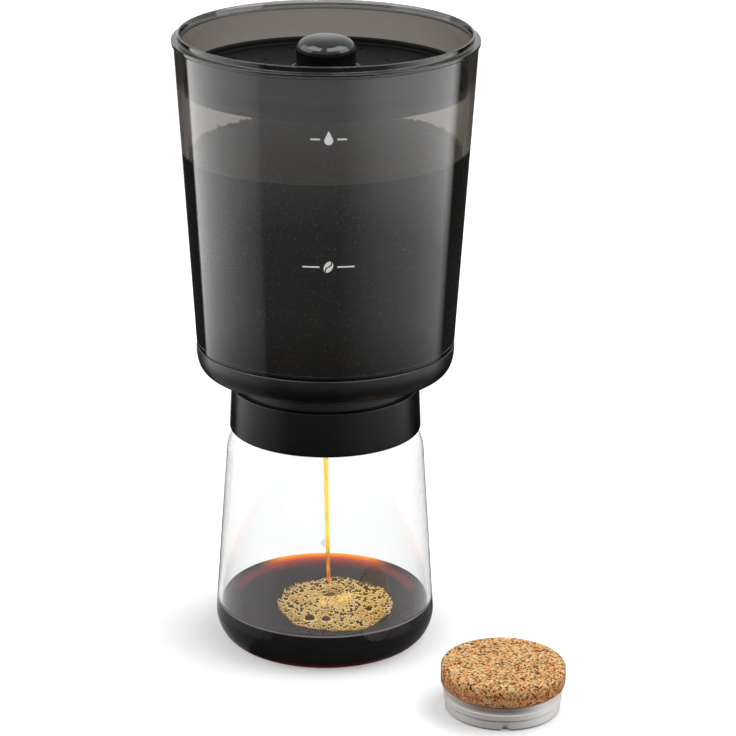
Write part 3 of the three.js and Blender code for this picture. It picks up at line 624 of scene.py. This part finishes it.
def goldenFoam():
    bench = Bench("goldenFoam")
    froth = bench.cells(1.6, "DISTANCE_TO_EDGE")
    tone = bench.shade(bench.between(bench.grain(8, 3), 0.35, 0.65), (255, 218, 128), (236, 178, 82))
    tone = bench.shade(bench.between(froth, 0.06, 0.26, 0.0, 0.9), tone, (98, 64, 24))
    tone = bench.shade(bench.between(bench.grain(0.9, 2), 0.56, 0.68, 0.0, 0.7), tone, (255, 234, 164))
    fromCrater, wide = bench.radius(*foam["crater"]), foam["craterWidth"] * mm
    # darker away from the crater: painted shade over the patch
    outward = bench.between(fromCrater, 0.010, 0.030, 0.0, 0.42, "SMOOTHSTEP")
    tone = bench.shade(outward, tone, (150, 116, 56))
    # a darker ring round the crater: painted shade on its walls
    funnel = bench.between(fromCrater, 0.0045, 0.0078, 0.55, 0.0)
    tone = bench.shade(funnel, tone, (120, 70, 24))
    # the dark core of the crater: painted shade in the hollow
    ragged = fromCrater + (bench.grain(1.8, 2) - 0.5) * 0.004
    tone = bench.shade(bench.between(ragged, wide * 0.3, wide * 0.85, 1.0, 0.0), tone, (30, 12, 6))
    low = bench.byHeight((brew["level"] + 0.3) * mm, (brew["level"] + 1.1) * mm, 0.65, 0.0)
    tone = bench.shade(low, tone, (122, 80, 34))
    return bench.finish({"Base Color": tone, "Roughness": 0.55, "Specular IOR Level": 0.1,
        "Normal": bench.bump(1 - froth, 0.6, 0.6)})


def bubbleFinish(name, light, dark, roughness, gloss=0.5):
    bench = Bench(name)
    return bench.finish({"Base Color": bench.shade(bench.grain(2, 2), dark, light), "Roughness": roughness,
        "IOR": 1.33, "Specular IOR Level": gloss, "Normal": bench.pitted(0.8, 1, 0.03, 0.4)})


def foamEdge(angle):  # how far the patch reaches in a direction, as a share
    reach = 0.95
    for strength, size, layer in ((0.09, 1.7, 3.1), (0.04, 7, 8.4), (0.02, 22, 1.4)):
        reach += strength * noise.noise(Vector((size * math.cos(angle), size * math.sin(angle), layer)))
    return reach


def foamSpot(share, angle):
    reach = foamEdge(angle) * share
    x = foam["centre"][0] + foam["halfWidth"] * reach * math.cos(angle)
    y = foam["centre"][1] + foam["halfDepth"] * reach * math.sin(angle)
    rise = foam["height"] * (1 - share ** 6) * (0.72 + 0.4 * uneven(x, y, 5, 1))
    froth = noise.voronoi(Vector((x / 1.9, y / 1.9, 2)))[0][0]
    rise += 0.3 * (0.4 - froth)
    away = math.dist((x, y), foam["crater"])
    wide = foam["craterWidth"]
    rise += 1.5 * math.exp(-((away - wide * 1.45) / 2.6) ** 2) - 3.4 * math.exp(-(away / (wide * 0.9)) ** 2)
    return (x, y, brew["level"] + 0.25 + max(rise, 0.05) * (share < 0.999))


rings, spokes = 70, 300
points = [foamSpot(0.0, 0.0)] + [foamSpot((k / rings) ** 0.85, 2 * math.pi * i / spokes)
    for k in range(1, rings + 1) for i in range(spokes)]
faces = [(0, 1 + i, 1 + (i + 1) % spokes) for i in range(spokes)] + bands(rings - 1, spokes, 1)
under = len(points)
points += [(x, y, brew["level"] - 0.2) for x, y, z in points[-spokes:]]
faces += bands(1, spokes, under - spokes)
foamPiece = made("foamPatch", points, faces, goldenFoam(), 80)
fitted(foamPiece, "carafe", "crema", "coffee_foam")


def hoop(at, size, thick, sides, around):  # the bright rim of a bubble, its light colour partly a painted sheen
    points, faces = [], []
    for i in range(sides):
        angle, nextRow = 2 * math.pi * i / sides, (i + 1) % sides * around
        for k in range(around):
            turn, beside = 2 * math.pi * k / around, (k + 1) % around
            reach = size + thick * math.cos(turn)
            points.append((at[0] + reach * math.cos(angle), at[1] + reach * math.sin(angle),
                at[2] + thick * math.sin(turn)))
            faces.append((i * around + k, i * around + beside, nextRow + beside, nextRow + k))
    return points, faces


def dome(at, size, rows, sides):  # its dark, wet inside, standing up out of the rim
    points = [(at[0], at[1], at[2] + size * 0.85)]
    for k in range(1, rows + 1):
        angle = math.pi / 2 * k / rows
        points += circle(at[0], at[1], at[2] + size * 0.85 * math.cos(angle), size * math.sin(angle), sides)
    return points, [(0, 1 + i, 1 + (i + 1) % sides) for i in range(sides)] + bands(rows - 1, sides, 1)


rng = random.Random(foam["seed"])
hoops, domes = [], []
for i in range(foam["bubbles"]):
    angle, share = rng.uniform(0, 2 * math.pi), rng.uniform(0.06, 0.97) ** 0.45
    size = 0.34 + 0.8 * rng.random() ** 3.4
    spot = foamSpot(min(share, 0.98), angle)
    if math.dist(spot[:2], foam["crater"]) < foam["craterWidth"] * 0.62:
        continue
    spot = (spot[0], spot[1], spot[2] + 0.1)
    hoops.append(hoop(spot, size, 0.15 + 0.1 * size, 12, 5))
    domes.append(dome(spot, size * 0.9, 3, 10))
for x, y, size in foam["large"]:
    spot = (x, y, brew["level"] + 1.5)
    hoops.append(hoop(spot, size, 0.3 + 0.06 * size, 28, 8))
    domes.append(dome(spot, size * 0.94, 8, 24))
# the rims are lighter than the foam: light foam wall with a painted sheen
brightRim = bubbleFinish("bubbleRim", (255, 240, 176), (238, 190, 104), 0.12)
wetInside = bubbleFinish("bubbleInside", (96, 62, 24), (40, 22, 10), 0.05, 0.12)
fitted(made("foamRims", *joined(hoops), brightRim, 60), "carafe", "crema")
fitted(made("foamBubbles", *joined(domes), wetInside, 60), "carafe", "crema")
print("coffee and foam poured")

# The pour from the drain.

pour = {"top": 123.2, "bottom": 19.9, "topRadius": 1.5, "bottomRadius": 0.95, "bead": 2.2, "landing": (1.9, 12.5)}


def amberPour():
    bench = Bench("amberPour")
    streaks = bench.stretched(1, 1, 0.12)
    band = bench.between(bench.grain(1.1, 2, streaks), 0.38, 0.62)
    tone = bench.shade(band, (255, 226, 92), (250, 196, 56))
    tone = bench.shade(bench.byHeight(0.024, 0.050, 1.0, 0.0), tone, (226, 112, 10))
    # dark brown streaks low on the stream: painted shade standing in for its darker edges
    lower = bench.byHeight(0.028, 0.044, 0.7, 0.0)
    paintedShadeStreak = bench.between(bench.grain(1.0, 2, streaks), 0.5, 0.6) * lower
    tone = bench.shade(paintedShadeStreak, tone, (132, 54, 6))
    neck = bench.byHeight(0.0305, 0.0335) * bench.byHeight(0.0365, 0.0400, 0.55, 0.0)
    tone = bench.shade(neck, tone, (140, 62, 4))
    # the stream also glows in its own colours: painted light for the light shining through it
    return bench.finish({"Base Color": tone, "Roughness": 0.06, "IOR": 1.33, "Emission Color": tone,
        "Emission Strength": 0.3})


pourPoints = []
steps, sides = 60, 20
for k in range(steps + 1):
    share = k / steps
    sway = share ** 1.5
    r = mix(pour["topRadius"], pour["bottomRadius"], share ** 0.7)
    r += (pour["bead"] - r) * max(0, 1 - share * 14) ** 2
    r *= 1 + 0.07 * math.sin(share * 19) * share
    x, y = (sway * way for way in pour["landing"])
    pourPoints += circle(x, y, mix(pour["top"], pour["bottom"], share), r, sides)
pourFaces = bands(steps, sides)
pourFaces += [tuple(range(sides)), tuple(range(steps * sides, steps * sides + sides))[::-1]]
stream = made("coffeeStream", pourPoints, pourFaces, amberPour(), 60)
fitted(stream, "carafe", "coffee")
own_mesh(stream)

# The smoked container.

container = {"base": 63.4, "top": 73.1, "flange": 304.7, "flangeThickness": 2, "flangeRadius": 73.8, "rim": 70.9,
    "rimTop": 309.6, "innerTop": 68.9, "innerBase": 60.4, "floor": 154.5, "wallBottom": 155.8, "sides": 224,
    "underside": [(8, 139.3), (36.1, 139.3), (36.1, 148.1), (41.1, 148.1), (41.1, 151.9), (58.6, 151.9)],
    "pocket": [(38.5, 150.7), (33.5, 150.7), (33.5, 141.7), (8, 141.7)]}


def innerWall(height):
    return sloped(height, (container["innerBase"], container["floor"]), (container["innerTop"], container["flange"]))


def outerWall(height):
    return sloped(height, (container["base"], container["wallBottom"]), (container["top"], container["flange"]))


flange, wallBottom, rim, rimTop = (container[name] for name in ("flange", "wallBottom", "rim", "rimTop"))
flangeTop = flange + container["flangeThickness"]
containerOutline = rounded(container["underside"] + [
    (58.6, wallBottom), (container["base"], wallBottom, 0.4), (container["top"], flange, 0.8),
    (container["flangeRadius"], flange + 0.3, 0.5), (container["flangeRadius"], flangeTop, 0.5), (rim, flangeTop, 0.6),
    (rim, rimTop, 0.7), (rim - 1, rimTop, 0.4), (container["innerTop"] + 0.1, rimTop - 2.6, 2),
    (container["innerTop"] - 0.05, flange), (container["innerBase"], container["floor"], 3),
    (38.5, container["floor"])] + container["pocket"])
containerPiece = made("brewContainer", *spun(containerOutline, container["sides"]), finishes["smoke"], 40)
fitted(containerPiece, "brewer", "smoked_plastic", "brew_container")
print("container moulded")

# Printed marks.

mark = {"beanHeight": 213.7, "dropHeight": 276, "diamondHeight": 25.2, "shift": 1.3, "proud": 0.12, "line": 0.75,
    "beanLength": 6.0, "beanWidth": 4.0, "beanTilt": 28}


def whitePrint():
    bench = Bench("whitePrint")
    return bench.finish({"Base Color": bench.shade(bench.grain(0.6, 2), (214, 213, 210), (236, 235, 232)),
        "Roughness": 0.55, "Normal": bench.pitted(0.3, 1, 0.01, 0.3)})


def printed(name, shapes, height, wall, material, facing=-math.pi / 2):  # flat shapes laid on a turned wall
    points, faces = [], []
    for shape in shapes:
        start = len(points)
        for u, v in shape:
            z = height + v
            r = wall(z) + mark["proud"]
            angle = facing + u / r
            points.append((r * math.cos(angle), r * math.sin(angle), z))
        if len(shape) == 4:
            faces.append(tuple(range(start, start + 4)))
        else:
            half = len(shape) // 2
            for i in range(half - 1):
                faces.append((start + i, start + i + 1, start + len(shape) - 2 - i, start + len(shape) - 1 - i))
    return made(name, points, faces, material)


def dashes(near, far):  # a thin line on each side
    thin, shapes = mark["line"] / 2, []
    for fromU, toU in ((mark["shift"] - far, mark["shift"] - near), (mark["shift"] + near, mark["shift"] + far)):
        for i in range(4):
            start, end = mix(fromU, toU, i / 4), mix(fromU, toU, (i + 1) / 4)
            shapes.append([(start, -thin), (end, -thin), (end, thin), (start, thin)])
    return shapes


def beanHalf(side):
    tilt, width = math.radians(mark["beanTilt"]), mark["beanWidth"]
    edge, groove = [], []
    for i in range(15):
        t = -1 + 2 * i / 14
        along = t * mark["beanLength"] / 2
        bulge = width / 2 * math.sqrt(max(0, 1 - t * t))
        curve = 0.16 * width * math.sin(t * math.pi)
        gap = 0.09 * width
        edge.append((along, side * bulge))
        groove.append((along, min(max(curve + side * gap, -bulge), bulge)))
    return [(mark["shift"] + u * math.sin(tilt) + v * math.cos(tilt), u * math.cos(tilt) - v * math.sin(tilt))
        for u, v in edge + groove[::-1]]


ink = whitePrint()
beanShapes = [beanHalf(-1), beanHalf(1)] + dashes(4.2, 12.2)
bean = printed("beanMark", beanShapes, mark["beanHeight"], outerWall, ink)
fitted(bean, "brewer", "frosted_plastic")

dropEdge = []
for i in range(25):
    angle = 2 * math.pi * i / 24 + math.pi / 2
    wide = 2.1 * math.cos(angle) * (1 - 0.55 * max(0, math.sin(angle)) ** 1.2)
    tall = 2.4 * math.sin(angle) + (1.9 * max(0, math.sin(angle)) ** 2.4)
    dropEdge.append((mark["shift"] + wide, tall - 0.4))
droplet = printed("dropletMark", [dropEdge[:-1]] + dashes(3.9, 8.4), mark["dropHeight"], outerWall, ink)
fitted(droplet, "brewer", "frosted_plastic")

# the grey diamond also glows a little: painted light
diamond = printed("diamondMark", [[(-1.1, 0), (0.8, -2.5), (2.7, 0), (0.8, 2.5)]], mark["diamondHeight"],
    glassRadius, softGrey("greyPrint", (204, 209, 212), 0.6, 0.78), math.pi / 2)
fitted(diamond, "carafe", "frosted_plastic")
print("marks printed")

# Black base and collar.

base = {"top": 155.5, "rim": 63.4, "squareness": 2.56, "foot": 56.9, "bowlInner": 60.9, "bowlBottom": 142.2,
    "bowlFloor": 143.5, "underside": 141.0, "neck": 44, "neckBottom": 116, "neckInner": 41.5, "flangeInner": 36.5,
    "flangeTop": 141.3, "flangeBottom": 139.3, "sides": 192}
bowl = squareArc(base["rim"], base["top"] - 0.3, base["foot"], base["bowlBottom"], base["squareness"], 22)
innerBowl = squareArc(base["bowlInner"], base["top"] - 3.5, base["foot"], base["bowlBottom"] + 2.5,
    base["squareness"], 10)
neckWall = rounded([(base["neckInner"], base["neckBottom"]), (base["neck"], base["neckBottom"], 0.4),
    (base["neck"], base["underside"], 1.8)], closed=False)
baseOutline = neckWall + bowl[::-1] + [(base["rim"] - 0.3, base["top"]), (base["bowlInner"], base["top"])] + innerBowl
baseOutline += [(base["neckInner"], base["bowlFloor"]), (base["neckInner"], base["flangeTop"]),
    (base["flangeInner"], base["flangeTop"]), (base["flangeInner"], base["flangeBottom"]),
    (base["neckInner"], base["flangeBottom"])]
basePiece = made("baseBowl", *spun(baseOutline, base["sides"]), finishes["bowlBlack"], 30)
fitted(basePiece, "brewer", "satin_black", "base_housing")

collar = {"bottom": 111.1, "top": 133.3, "foot": 47.3, "shoulder": 46.4, "footInner": 45.1, "inner": 44.3}
collarOutline = rounded([(collar["footInner"], collar["bottom"]), (collar["foot"], collar["bottom"], 0.8),
    (collar["shoulder"], collar["top"], 0.8), (collar["inner"], collar["top"]), (collar["inner"],
    base["neckBottom"])])
collarPiece = made("neckCollar", *spun(collarOutline, 192), finishes["satinBlack"], 30)
fitted(collarPiece, "brewer", "satin_black", "neck_collar")
print("base and collar moulded")

# Ground coffee.

bed = {"floor": 154.8, "top": 253.9, "crown": 254.7, "tilt": 1.0, "halfWidth": 68, "plug": 35.1,
    "plugBottom": 153.2, "gap": -0.05, "crumbs": 2600, "edgeCrumbs": 240, "seed": 21}


def groundCoffee():
    bench = Bench("groundCoffee")
    cloud = bench.grain(8, 4)
    low = bench.byHeight(0.155, 0.235, 0.0, 1.0)
    tone = bench.shade(cloud, (28, 25, 23), (42, 38, 35))
    tone = bench.shade(bench.between(bench.patches(0.7), 0.9, 1.0, 0.0, 0.7), tone, (96, 88, 80))
    tone = bench.shade(low * 0.4 + 0.6, (18, 16, 15), tone)
    level = bench.along("Z") - bench.along("X") * (bed["tilt"] / bed["halfWidth"])
    # the top surface painted lighter: painted light, as if lit from above
    onTop = bench.between(level, bed["top"] * mm - 0.0009, bed["top"] * mm - 0.0004)
    paintedLitTop = bench.shade(bench.grain(1.4, 4), (80, 76, 72), (132, 128, 124))
    tone = bench.shade(onTop, tone, paintedLitTop)
    return bench.finish({"Base Color": tone, "Roughness": 0.9, "Normal": bench.pitted(0.9, 3, 0.3, 0.5)})


def slant(x):
    return bed["tilt"] * x / bed["halfWidth"]


def hummock(x, y):
    return 0.75 * uneven(x, y, 4, 0)


steps, sides, bedWidth = 30, 220, innerWall(bed["top"])
heights = [mix(bed["floor"] + 3, bed["top"], i / steps) for i in range(steps + 1)]
bedSide = [(innerWall(z) - bed["gap"], z) for z in heights]
bedTop = [(bedWidth * share - bed["gap"], mix(bed["crown"], bed["top"], share ** 2))
    for share in (0.985, 0.96, 0.92, 0.88, 0.84, 0.8, 0.75, 0.7, 0.65, 0.6, 0.54, 0.48, 0.42, 0.36, 0.3, 0.24, 0.18,
    0.12, 0.06)]
bedOutline = [(0, bed["plugBottom"]), (bed["plug"], bed["plugBottom"]), (bed["plug"], bed["floor"]),
    (innerWall(155) - 3.3, bed["floor"])] + bedSide + bedTop + [(0, bed["crown"])]
points, faces = spun(bedOutline, sides)
shaken = []
for x, y, z in points:
    r = math.hypot(x, y)
    z += slant(x) * max(0, 1 - (bed["top"] - z) / 20) * (z > bed["floor"] + 2)
    if z > bed["top"] - 0.01 - abs(slant(x)) and r < bedWidth - 0.5:
        z += hummock(x, y) + 0.5 * uneven(x, y, 1.6, 5)
        if r > bedWidth - 1.2:
            z -= 0.9 * abs(uneven(x, y, 6, 2))
    elif z > bed["floor"] + 2 and r > 1:
        x, y = inward(x, y, 0.02 * abs(uneven(x, y, 2, z / 2)))
    shaken.append((x, y, z))
rng = random.Random(bed["seed"])
crumbs = []
for i in range(bed["crumbs"]):
    angle, reach = rng.uniform(0, 2 * math.pi), (bedWidth - 1.6) * rng.random() ** 0.5
    x, y = reach * math.cos(angle), reach * math.sin(angle)
    z = mix(bed["crown"], bed["top"], (reach / 65) ** 2) + slant(x) + hummock(x, y)
    crumbs.append(pebble((x, y, z + 0.15), rng.uniform(0.3, 0.75), rng))
for i in range(bed["edgeCrumbs"]):
    angle, reach = rng.uniform(0, 2 * math.pi), bedWidth - rng.uniform(1.2, 5)
    x, y = reach * math.cos(angle), reach * math.sin(angle)
    z = bed["top"] + slant(x) + rng.uniform(0.1, 0.8)
    crumbs.append(pebble((x, y, z), rng.uniform(0.7, 1.5), rng))
grounds = made("groundsBed", *joined([(shaken, faces)] + crumbs), groundCoffee(), 50)
fitted(grounds, "filter", "ground_coffee", "coffee_grounds")
print("grounds filled")

# The water distributor.

dish = {"bottom": 283.2, "top": 291.9, "discTop": 288.8, "discBottom": 286.6, "wall": 2.2, "knobRing": 17,
    "ringWall": 1.4, "ringTop": 292.4, "clearance": 0.3, "screwHole": 2.3, "hole": 1.1, "holeSides": 20,
    "shares": (0.42, 0.62, 0.82), "counts": (6, 8, 10), "sides": 192}


def dishMesh():
    under, over, top, hole = (dish[name] for name in ("discBottom", "discTop", "top", "screwHole"))
    skirt, lip = innerWall(dish["bottom"]) - dish["clearance"], innerWall(top) - dish["clearance"]
    outer, innerLip = skirt - dish["wall"], lip - dish["wall"]
    ring, innerRing = dish["knobRing"], dish["knobRing"] - dish["ringWall"]
    outline = rounded([(hole, under), (outer, under), (outer, dish["bottom"], 0.5), (skirt, dish["bottom"], 0.6),
        (lip, top, 0.8), (innerLip, top, 0.8), (innerLip, over, 0.8), (ring, over, 0.5),
        (ring, dish["ringTop"], 0.5), (innerRing, dish["ringTop"], 0.5), (innerRing, over, 0.4), (hole, over)])
    piece = made("distributorDish", *spun(outline, dish["sides"]), finishes["dishBlack"], 35)
    drills, sides = [], dish["holeSides"]
    ends = [tuple(range(sides))[::-1], tuple(range(sides, 2 * sides))]
    walls = [(k, (k + 1) % sides, sides + (k + 1) % sides, sides + k) for k in range(sides)]
    for share, count in zip(dish["shares"], dish["counts"]):
        for x, y, z in circle(0, 0, under - 1, skirt * share, count):
            drill = circle(x, y, z, dish["hole"], sides) + circle(x, y, over + 1, dish["hole"], sides)
            drills.append((drill, walls + ends))
    cutter = made("drills", *joined(drills), finishes["dishBlack"])
    cut = piece.modifiers.new("holes", "BOOLEAN")
    cut.operation, cut.object, cut.solver = "DIFFERENCE", cutter, "EXACT"
    bpy.context.view_layer.update()
    drilled = bpy.data.meshes.new_from_object(piece.evaluated_get(bpy.context.evaluated_depsgraph_get()))
    piece.modifiers.clear()
    piece.data = drilled
    bpy.data.objects.remove(cutter)
    drilled.shade_smooth()
    drilled.set_sharp_from_angle(angle=math.radians(30))
    return piece


fitted(dishMesh(), "rainmaker", "satin_black", "rainmaker_dish")

knob = {"radius": 14.3, "bottom": 289.1, "side": 299.5, "dome": 8.5, "squareness": 2.8, "socket": 298.4,
    "screwHole": 2.3}
knobTop = squareArc(knob["radius"], knob["side"], 0.001, knob["side"] + knob["dome"], knob["squareness"], 30)
knobOutline = [(0, knob["socket"]), (knob["screwHole"], knob["socket"]), (knob["screwHole"], knob["bottom"]),
    (knob["radius"] - 0.5, knob["bottom"]), (knob["radius"], knob["bottom"] + 0.5)]
knobOutline += [(knob["radius"], mix(knob["bottom"] + 0.5, knob["side"], i / 6)) for i in range(1, 6)]
knobOutline += knobTop[:-1] + [(0, knob["side"] + knob["dome"])]
knobPiece = made("distributorKnob", *spun(knobOutline, 160), finishes["glossBlack"], 40)
fitted(knobPiece, "rainmaker", "gloss_black", "rainmaker_knob")
print("distributor moulded")

# The stopper beside the carafe.

stopper = {"at": (85.4, -89.9), "plugTop": 12.1}
cap = {"radius": 29.95, "bottom": 12.4, "top": 23.3, "rounding": 2.2, "ringStep": 0.7, "rings": 38, "sides": 230}
sleeve = {"radius": 28.4, "foot": 27.6, "inner": 24.9, "groove": 1.1, "shares": (0.41, 0.68), "notchHeight": 3.3,
    "notchHalfAngle": 4.6, "notchDepth": 2.1, "sides": 288}
core = {"inner": 22.4, "outer": 24.6, "ceiling": 10.3, "foot": 0.3}


def pressedCork():
    bench = Bench("pressedCork")
    warp = bench.grain(1.4, 2, out="Color")
    shifted = bench.vector("MULTIPLY_ADD", warp, (0.0003, 0.0003, 0.0003), bench.here())
    seam = bench.cells(1.0, "DISTANCE_TO_EDGE", shifted)
    tone = bench.ramp(bench.patches(1.0, shifted), [
        (0.0, (60, 22, 4)), (0.12, (150, 82, 32)), (0.3, (255, 176, 104)),
        (0.6, (255, 208, 140)), (0.84, (255, 236, 184)), (1.0, (170, 94, 40))])
    flecks = bench.between(bench.grain(0.9, 2), 0.58, 0.66, 0.0, 0.8)
    tone = bench.shade(flecks, tone, (112, 54, 16))
    tone = bench.shade(bench.between(seam, 0.0, 0.05, 0.4, 0.0), tone, (140, 88, 46))
    # the side darker and browner than the top: painted shade
    side = bench.byHeight(0.0231, 0.0180, 0.0, 0.55)
    tone = bench.shade(side, tone, (126, 46, 2))
    pits = bench.between(bench.grain(2.2, 3, bench.stretched(0.5, 1, 1)), 0.66, 0.70, 1.0, 0.0)
    return bench.finish({"Base Color": bench.shade(pits, (80, 34, 8), tone), "Roughness": 0.85,
        "Specular IOR Level": 0.12, "Normal": bench.bump(pits * 0.6 + bench.between(seam, 0, 0.08), 0.3, 0.8)})


def frostedSilicone():  # milky, with the cork's brown showing through below it together with painted shade, the sides painted lighter and darker as light falls, a painted highlight on the lip and a painted shadow at the foot
    bench = Bench("frostedSilicone")
    cloud = bench.grain(7, 3)
    tone = bench.shade(cloud, (238, 234, 231), (248, 245, 243))
    sideways = bench.along("X")
    paintedLight = bench.between(sideways, 0.086, 0.106, kind="SMOOTHSTEP")  # painted light: the right side lighter, where more light comes through
    # the left side painted darker: painted shade
    paintedShadeLeft = bench.between(sideways, 0.056, 0.076, 0.05, 0.5)
    tone = bench.shade(paintedLight, bench.shade(paintedShadeLeft, tone, (160, 144, 137)), (250, 249, 247))
    corkBrownAndShade = bench.byHeight(0.0080, 0.0104, 0.0, 0.72, "SMOOTHSTEP") * (1 - paintedLight * 0.85)
    corkBrownAndShade = corkBrownAndShade * bench.between(sideways, 0.056, 0.074, 0.3, 1.0)
    tone = bench.shade(corkBrownAndShade, tone, (104, 78, 60))
    # a painted highlight along the lip
    lip = bench.byHeight(0.0078, 0.0081) * bench.byHeight(0.0085, 0.0088, 1.0, 0.0)
    tone = bench.shade(lip, tone, (255, 253, 250))
    # a painted contact shadow at the foot
    foot = bench.byHeight(0.0005, 0.0013, 0.85, 0.0)
    return bench.finish({"Base Color": bench.shade(foot, tone, (78, 66, 60)), "IOR": 1.42,
        "Roughness": bench.between(cloud, 0.3, 0.7, 0.3, 0.4), "Transmission Weight": 0.3,
        "Normal": bench.pitted(0.9, 2, 0.03, 0.4)})


def frosted(name, tint, roughness, depth):
    bench = Bench(name)
    cloud = bench.grain(5, 3)
    return bench.finish({"Base Color": bench.shade(cloud, tint, lighter(tint, 12)),
        "Roughness": bench.between(cloud, 0.3, 0.7, roughness - 0.05, roughness + 0.05), "IOR": 1.42,
        "Transmission Weight": depth, "Normal": bench.pitted(0.6, 2, 0.03, 0.4)})


flat, low, high = cap["radius"] - cap["rounding"], cap["bottom"] + cap["rounding"], cap["top"] - cap["rounding"]
corkOutline = [(0, cap["bottom"]), (12, cap["bottom"]), (22, cap["bottom"])]
corkOutline += squareArc(cap["radius"], low, flat, cap["bottom"], 2, 5)[::-1]
corkOutline += [(cap["radius"], mix(low, high, i / 9)) for i in range(1, 9)]
corkOutline += squareArc(cap["radius"], high, flat, cap["top"], 2, 6)
corkOutline += [(flat - i * cap["ringStep"], cap["top"]) for i in range(1, cap["rings"] + 1)] + [(0, cap["top"])]
points, faces = spun(corkOutline, cap["sides"])
crumbled = []
for x, y, z in points:
    spot = Vector((x / 2.4, y / 2.4, z / 2.4))
    near = noise.voronoi(spot)[0]
    crack = 0.32 * max(0, 0.16 - (near[1] - near[0])) / 0.16
    pit = 0.55 * max(0, noise.noise(spot * 1.7) - 0.38)
    if z > cap["top"] - 0.01:
        z -= crack + pit
    elif math.hypot(x, y) > 20 and z > cap["bottom"] + 0.3:
        x, y = inward(x, y, crack + pit)
    crumbled.append((x, y, z))
cork = made("corkCap", crumbled, faces, pressedCork(), 55, stopper["at"])
fitted(cork, "stopper", "cork", "stopper_cork")

lower, upper = (stopper["plugTop"] * share for share in sleeve["shares"])
inner, foot, outer = sleeve["inner"], sleeve["foot"], sleeve["radius"]
deep = foot - sleeve["groove"]
sealOutline = [(inner, 0), (foot - 0.9, 0, 0.4), (foot, 0.9, 0.5), (foot, 1.6), (foot, 2.4), (foot, 3.2),
    (foot, lower - 0.45, 0.3), (deep, lower - 0.2, 0.2), (deep, lower + 0.2, 0.2), (outer - 0.15, lower + 0.5, 0.3),
    (outer - 0.15, upper - 0.35, 0.3), (outer + 0.12, upper, 0.25), (outer - 0.05, upper + 0.5, 0.3),
    (outer - 0.05, stopper["plugTop"], 0.4), (inner, stopper["plugTop"])]
points, faces = spun(rounded(sealOutline), sleeve["sides"])
notched = []
for x, y, z in points:
    turn = math.degrees(math.atan2(x, -y))
    share = max(0, 1 - abs(turn + 0.4) / sleeve["notchHalfAngle"])  # a small V at the front of the foot
    if math.hypot(x, y) > 26 and z < sleeve["notchHeight"] * share:
        x, y = inward(x, y, sleeve["notchDepth"])
    notched.append((x, y, z))
sealPiece = made("sealSleeve", notched, faces, frostedSilicone(), 40, stopper["at"])
fitted(sealPiece, "stopper", "frosted_silicone", "stopper_seal")
coreOutline = rounded([(0, core["ceiling"]), (core["inner"], core["ceiling"], 1.0),
    (core["inner"], core["foot"], 0.4), (core["outer"], core["foot"], 0.4), (core["outer"], stopper["plugTop"]),
    (0, stopper["plugTop"])], closed=False)
stiff = frosted("frostedPlastic", (214, 214, 213), 0.35, 0.2)
corePiece = made("plugCore", *spun(coreOutline, 128), stiff, 40, stopper["at"])
fitted(corePiece, "stopper", "frosted_plastic", "stopper_core")
print("stopper made")
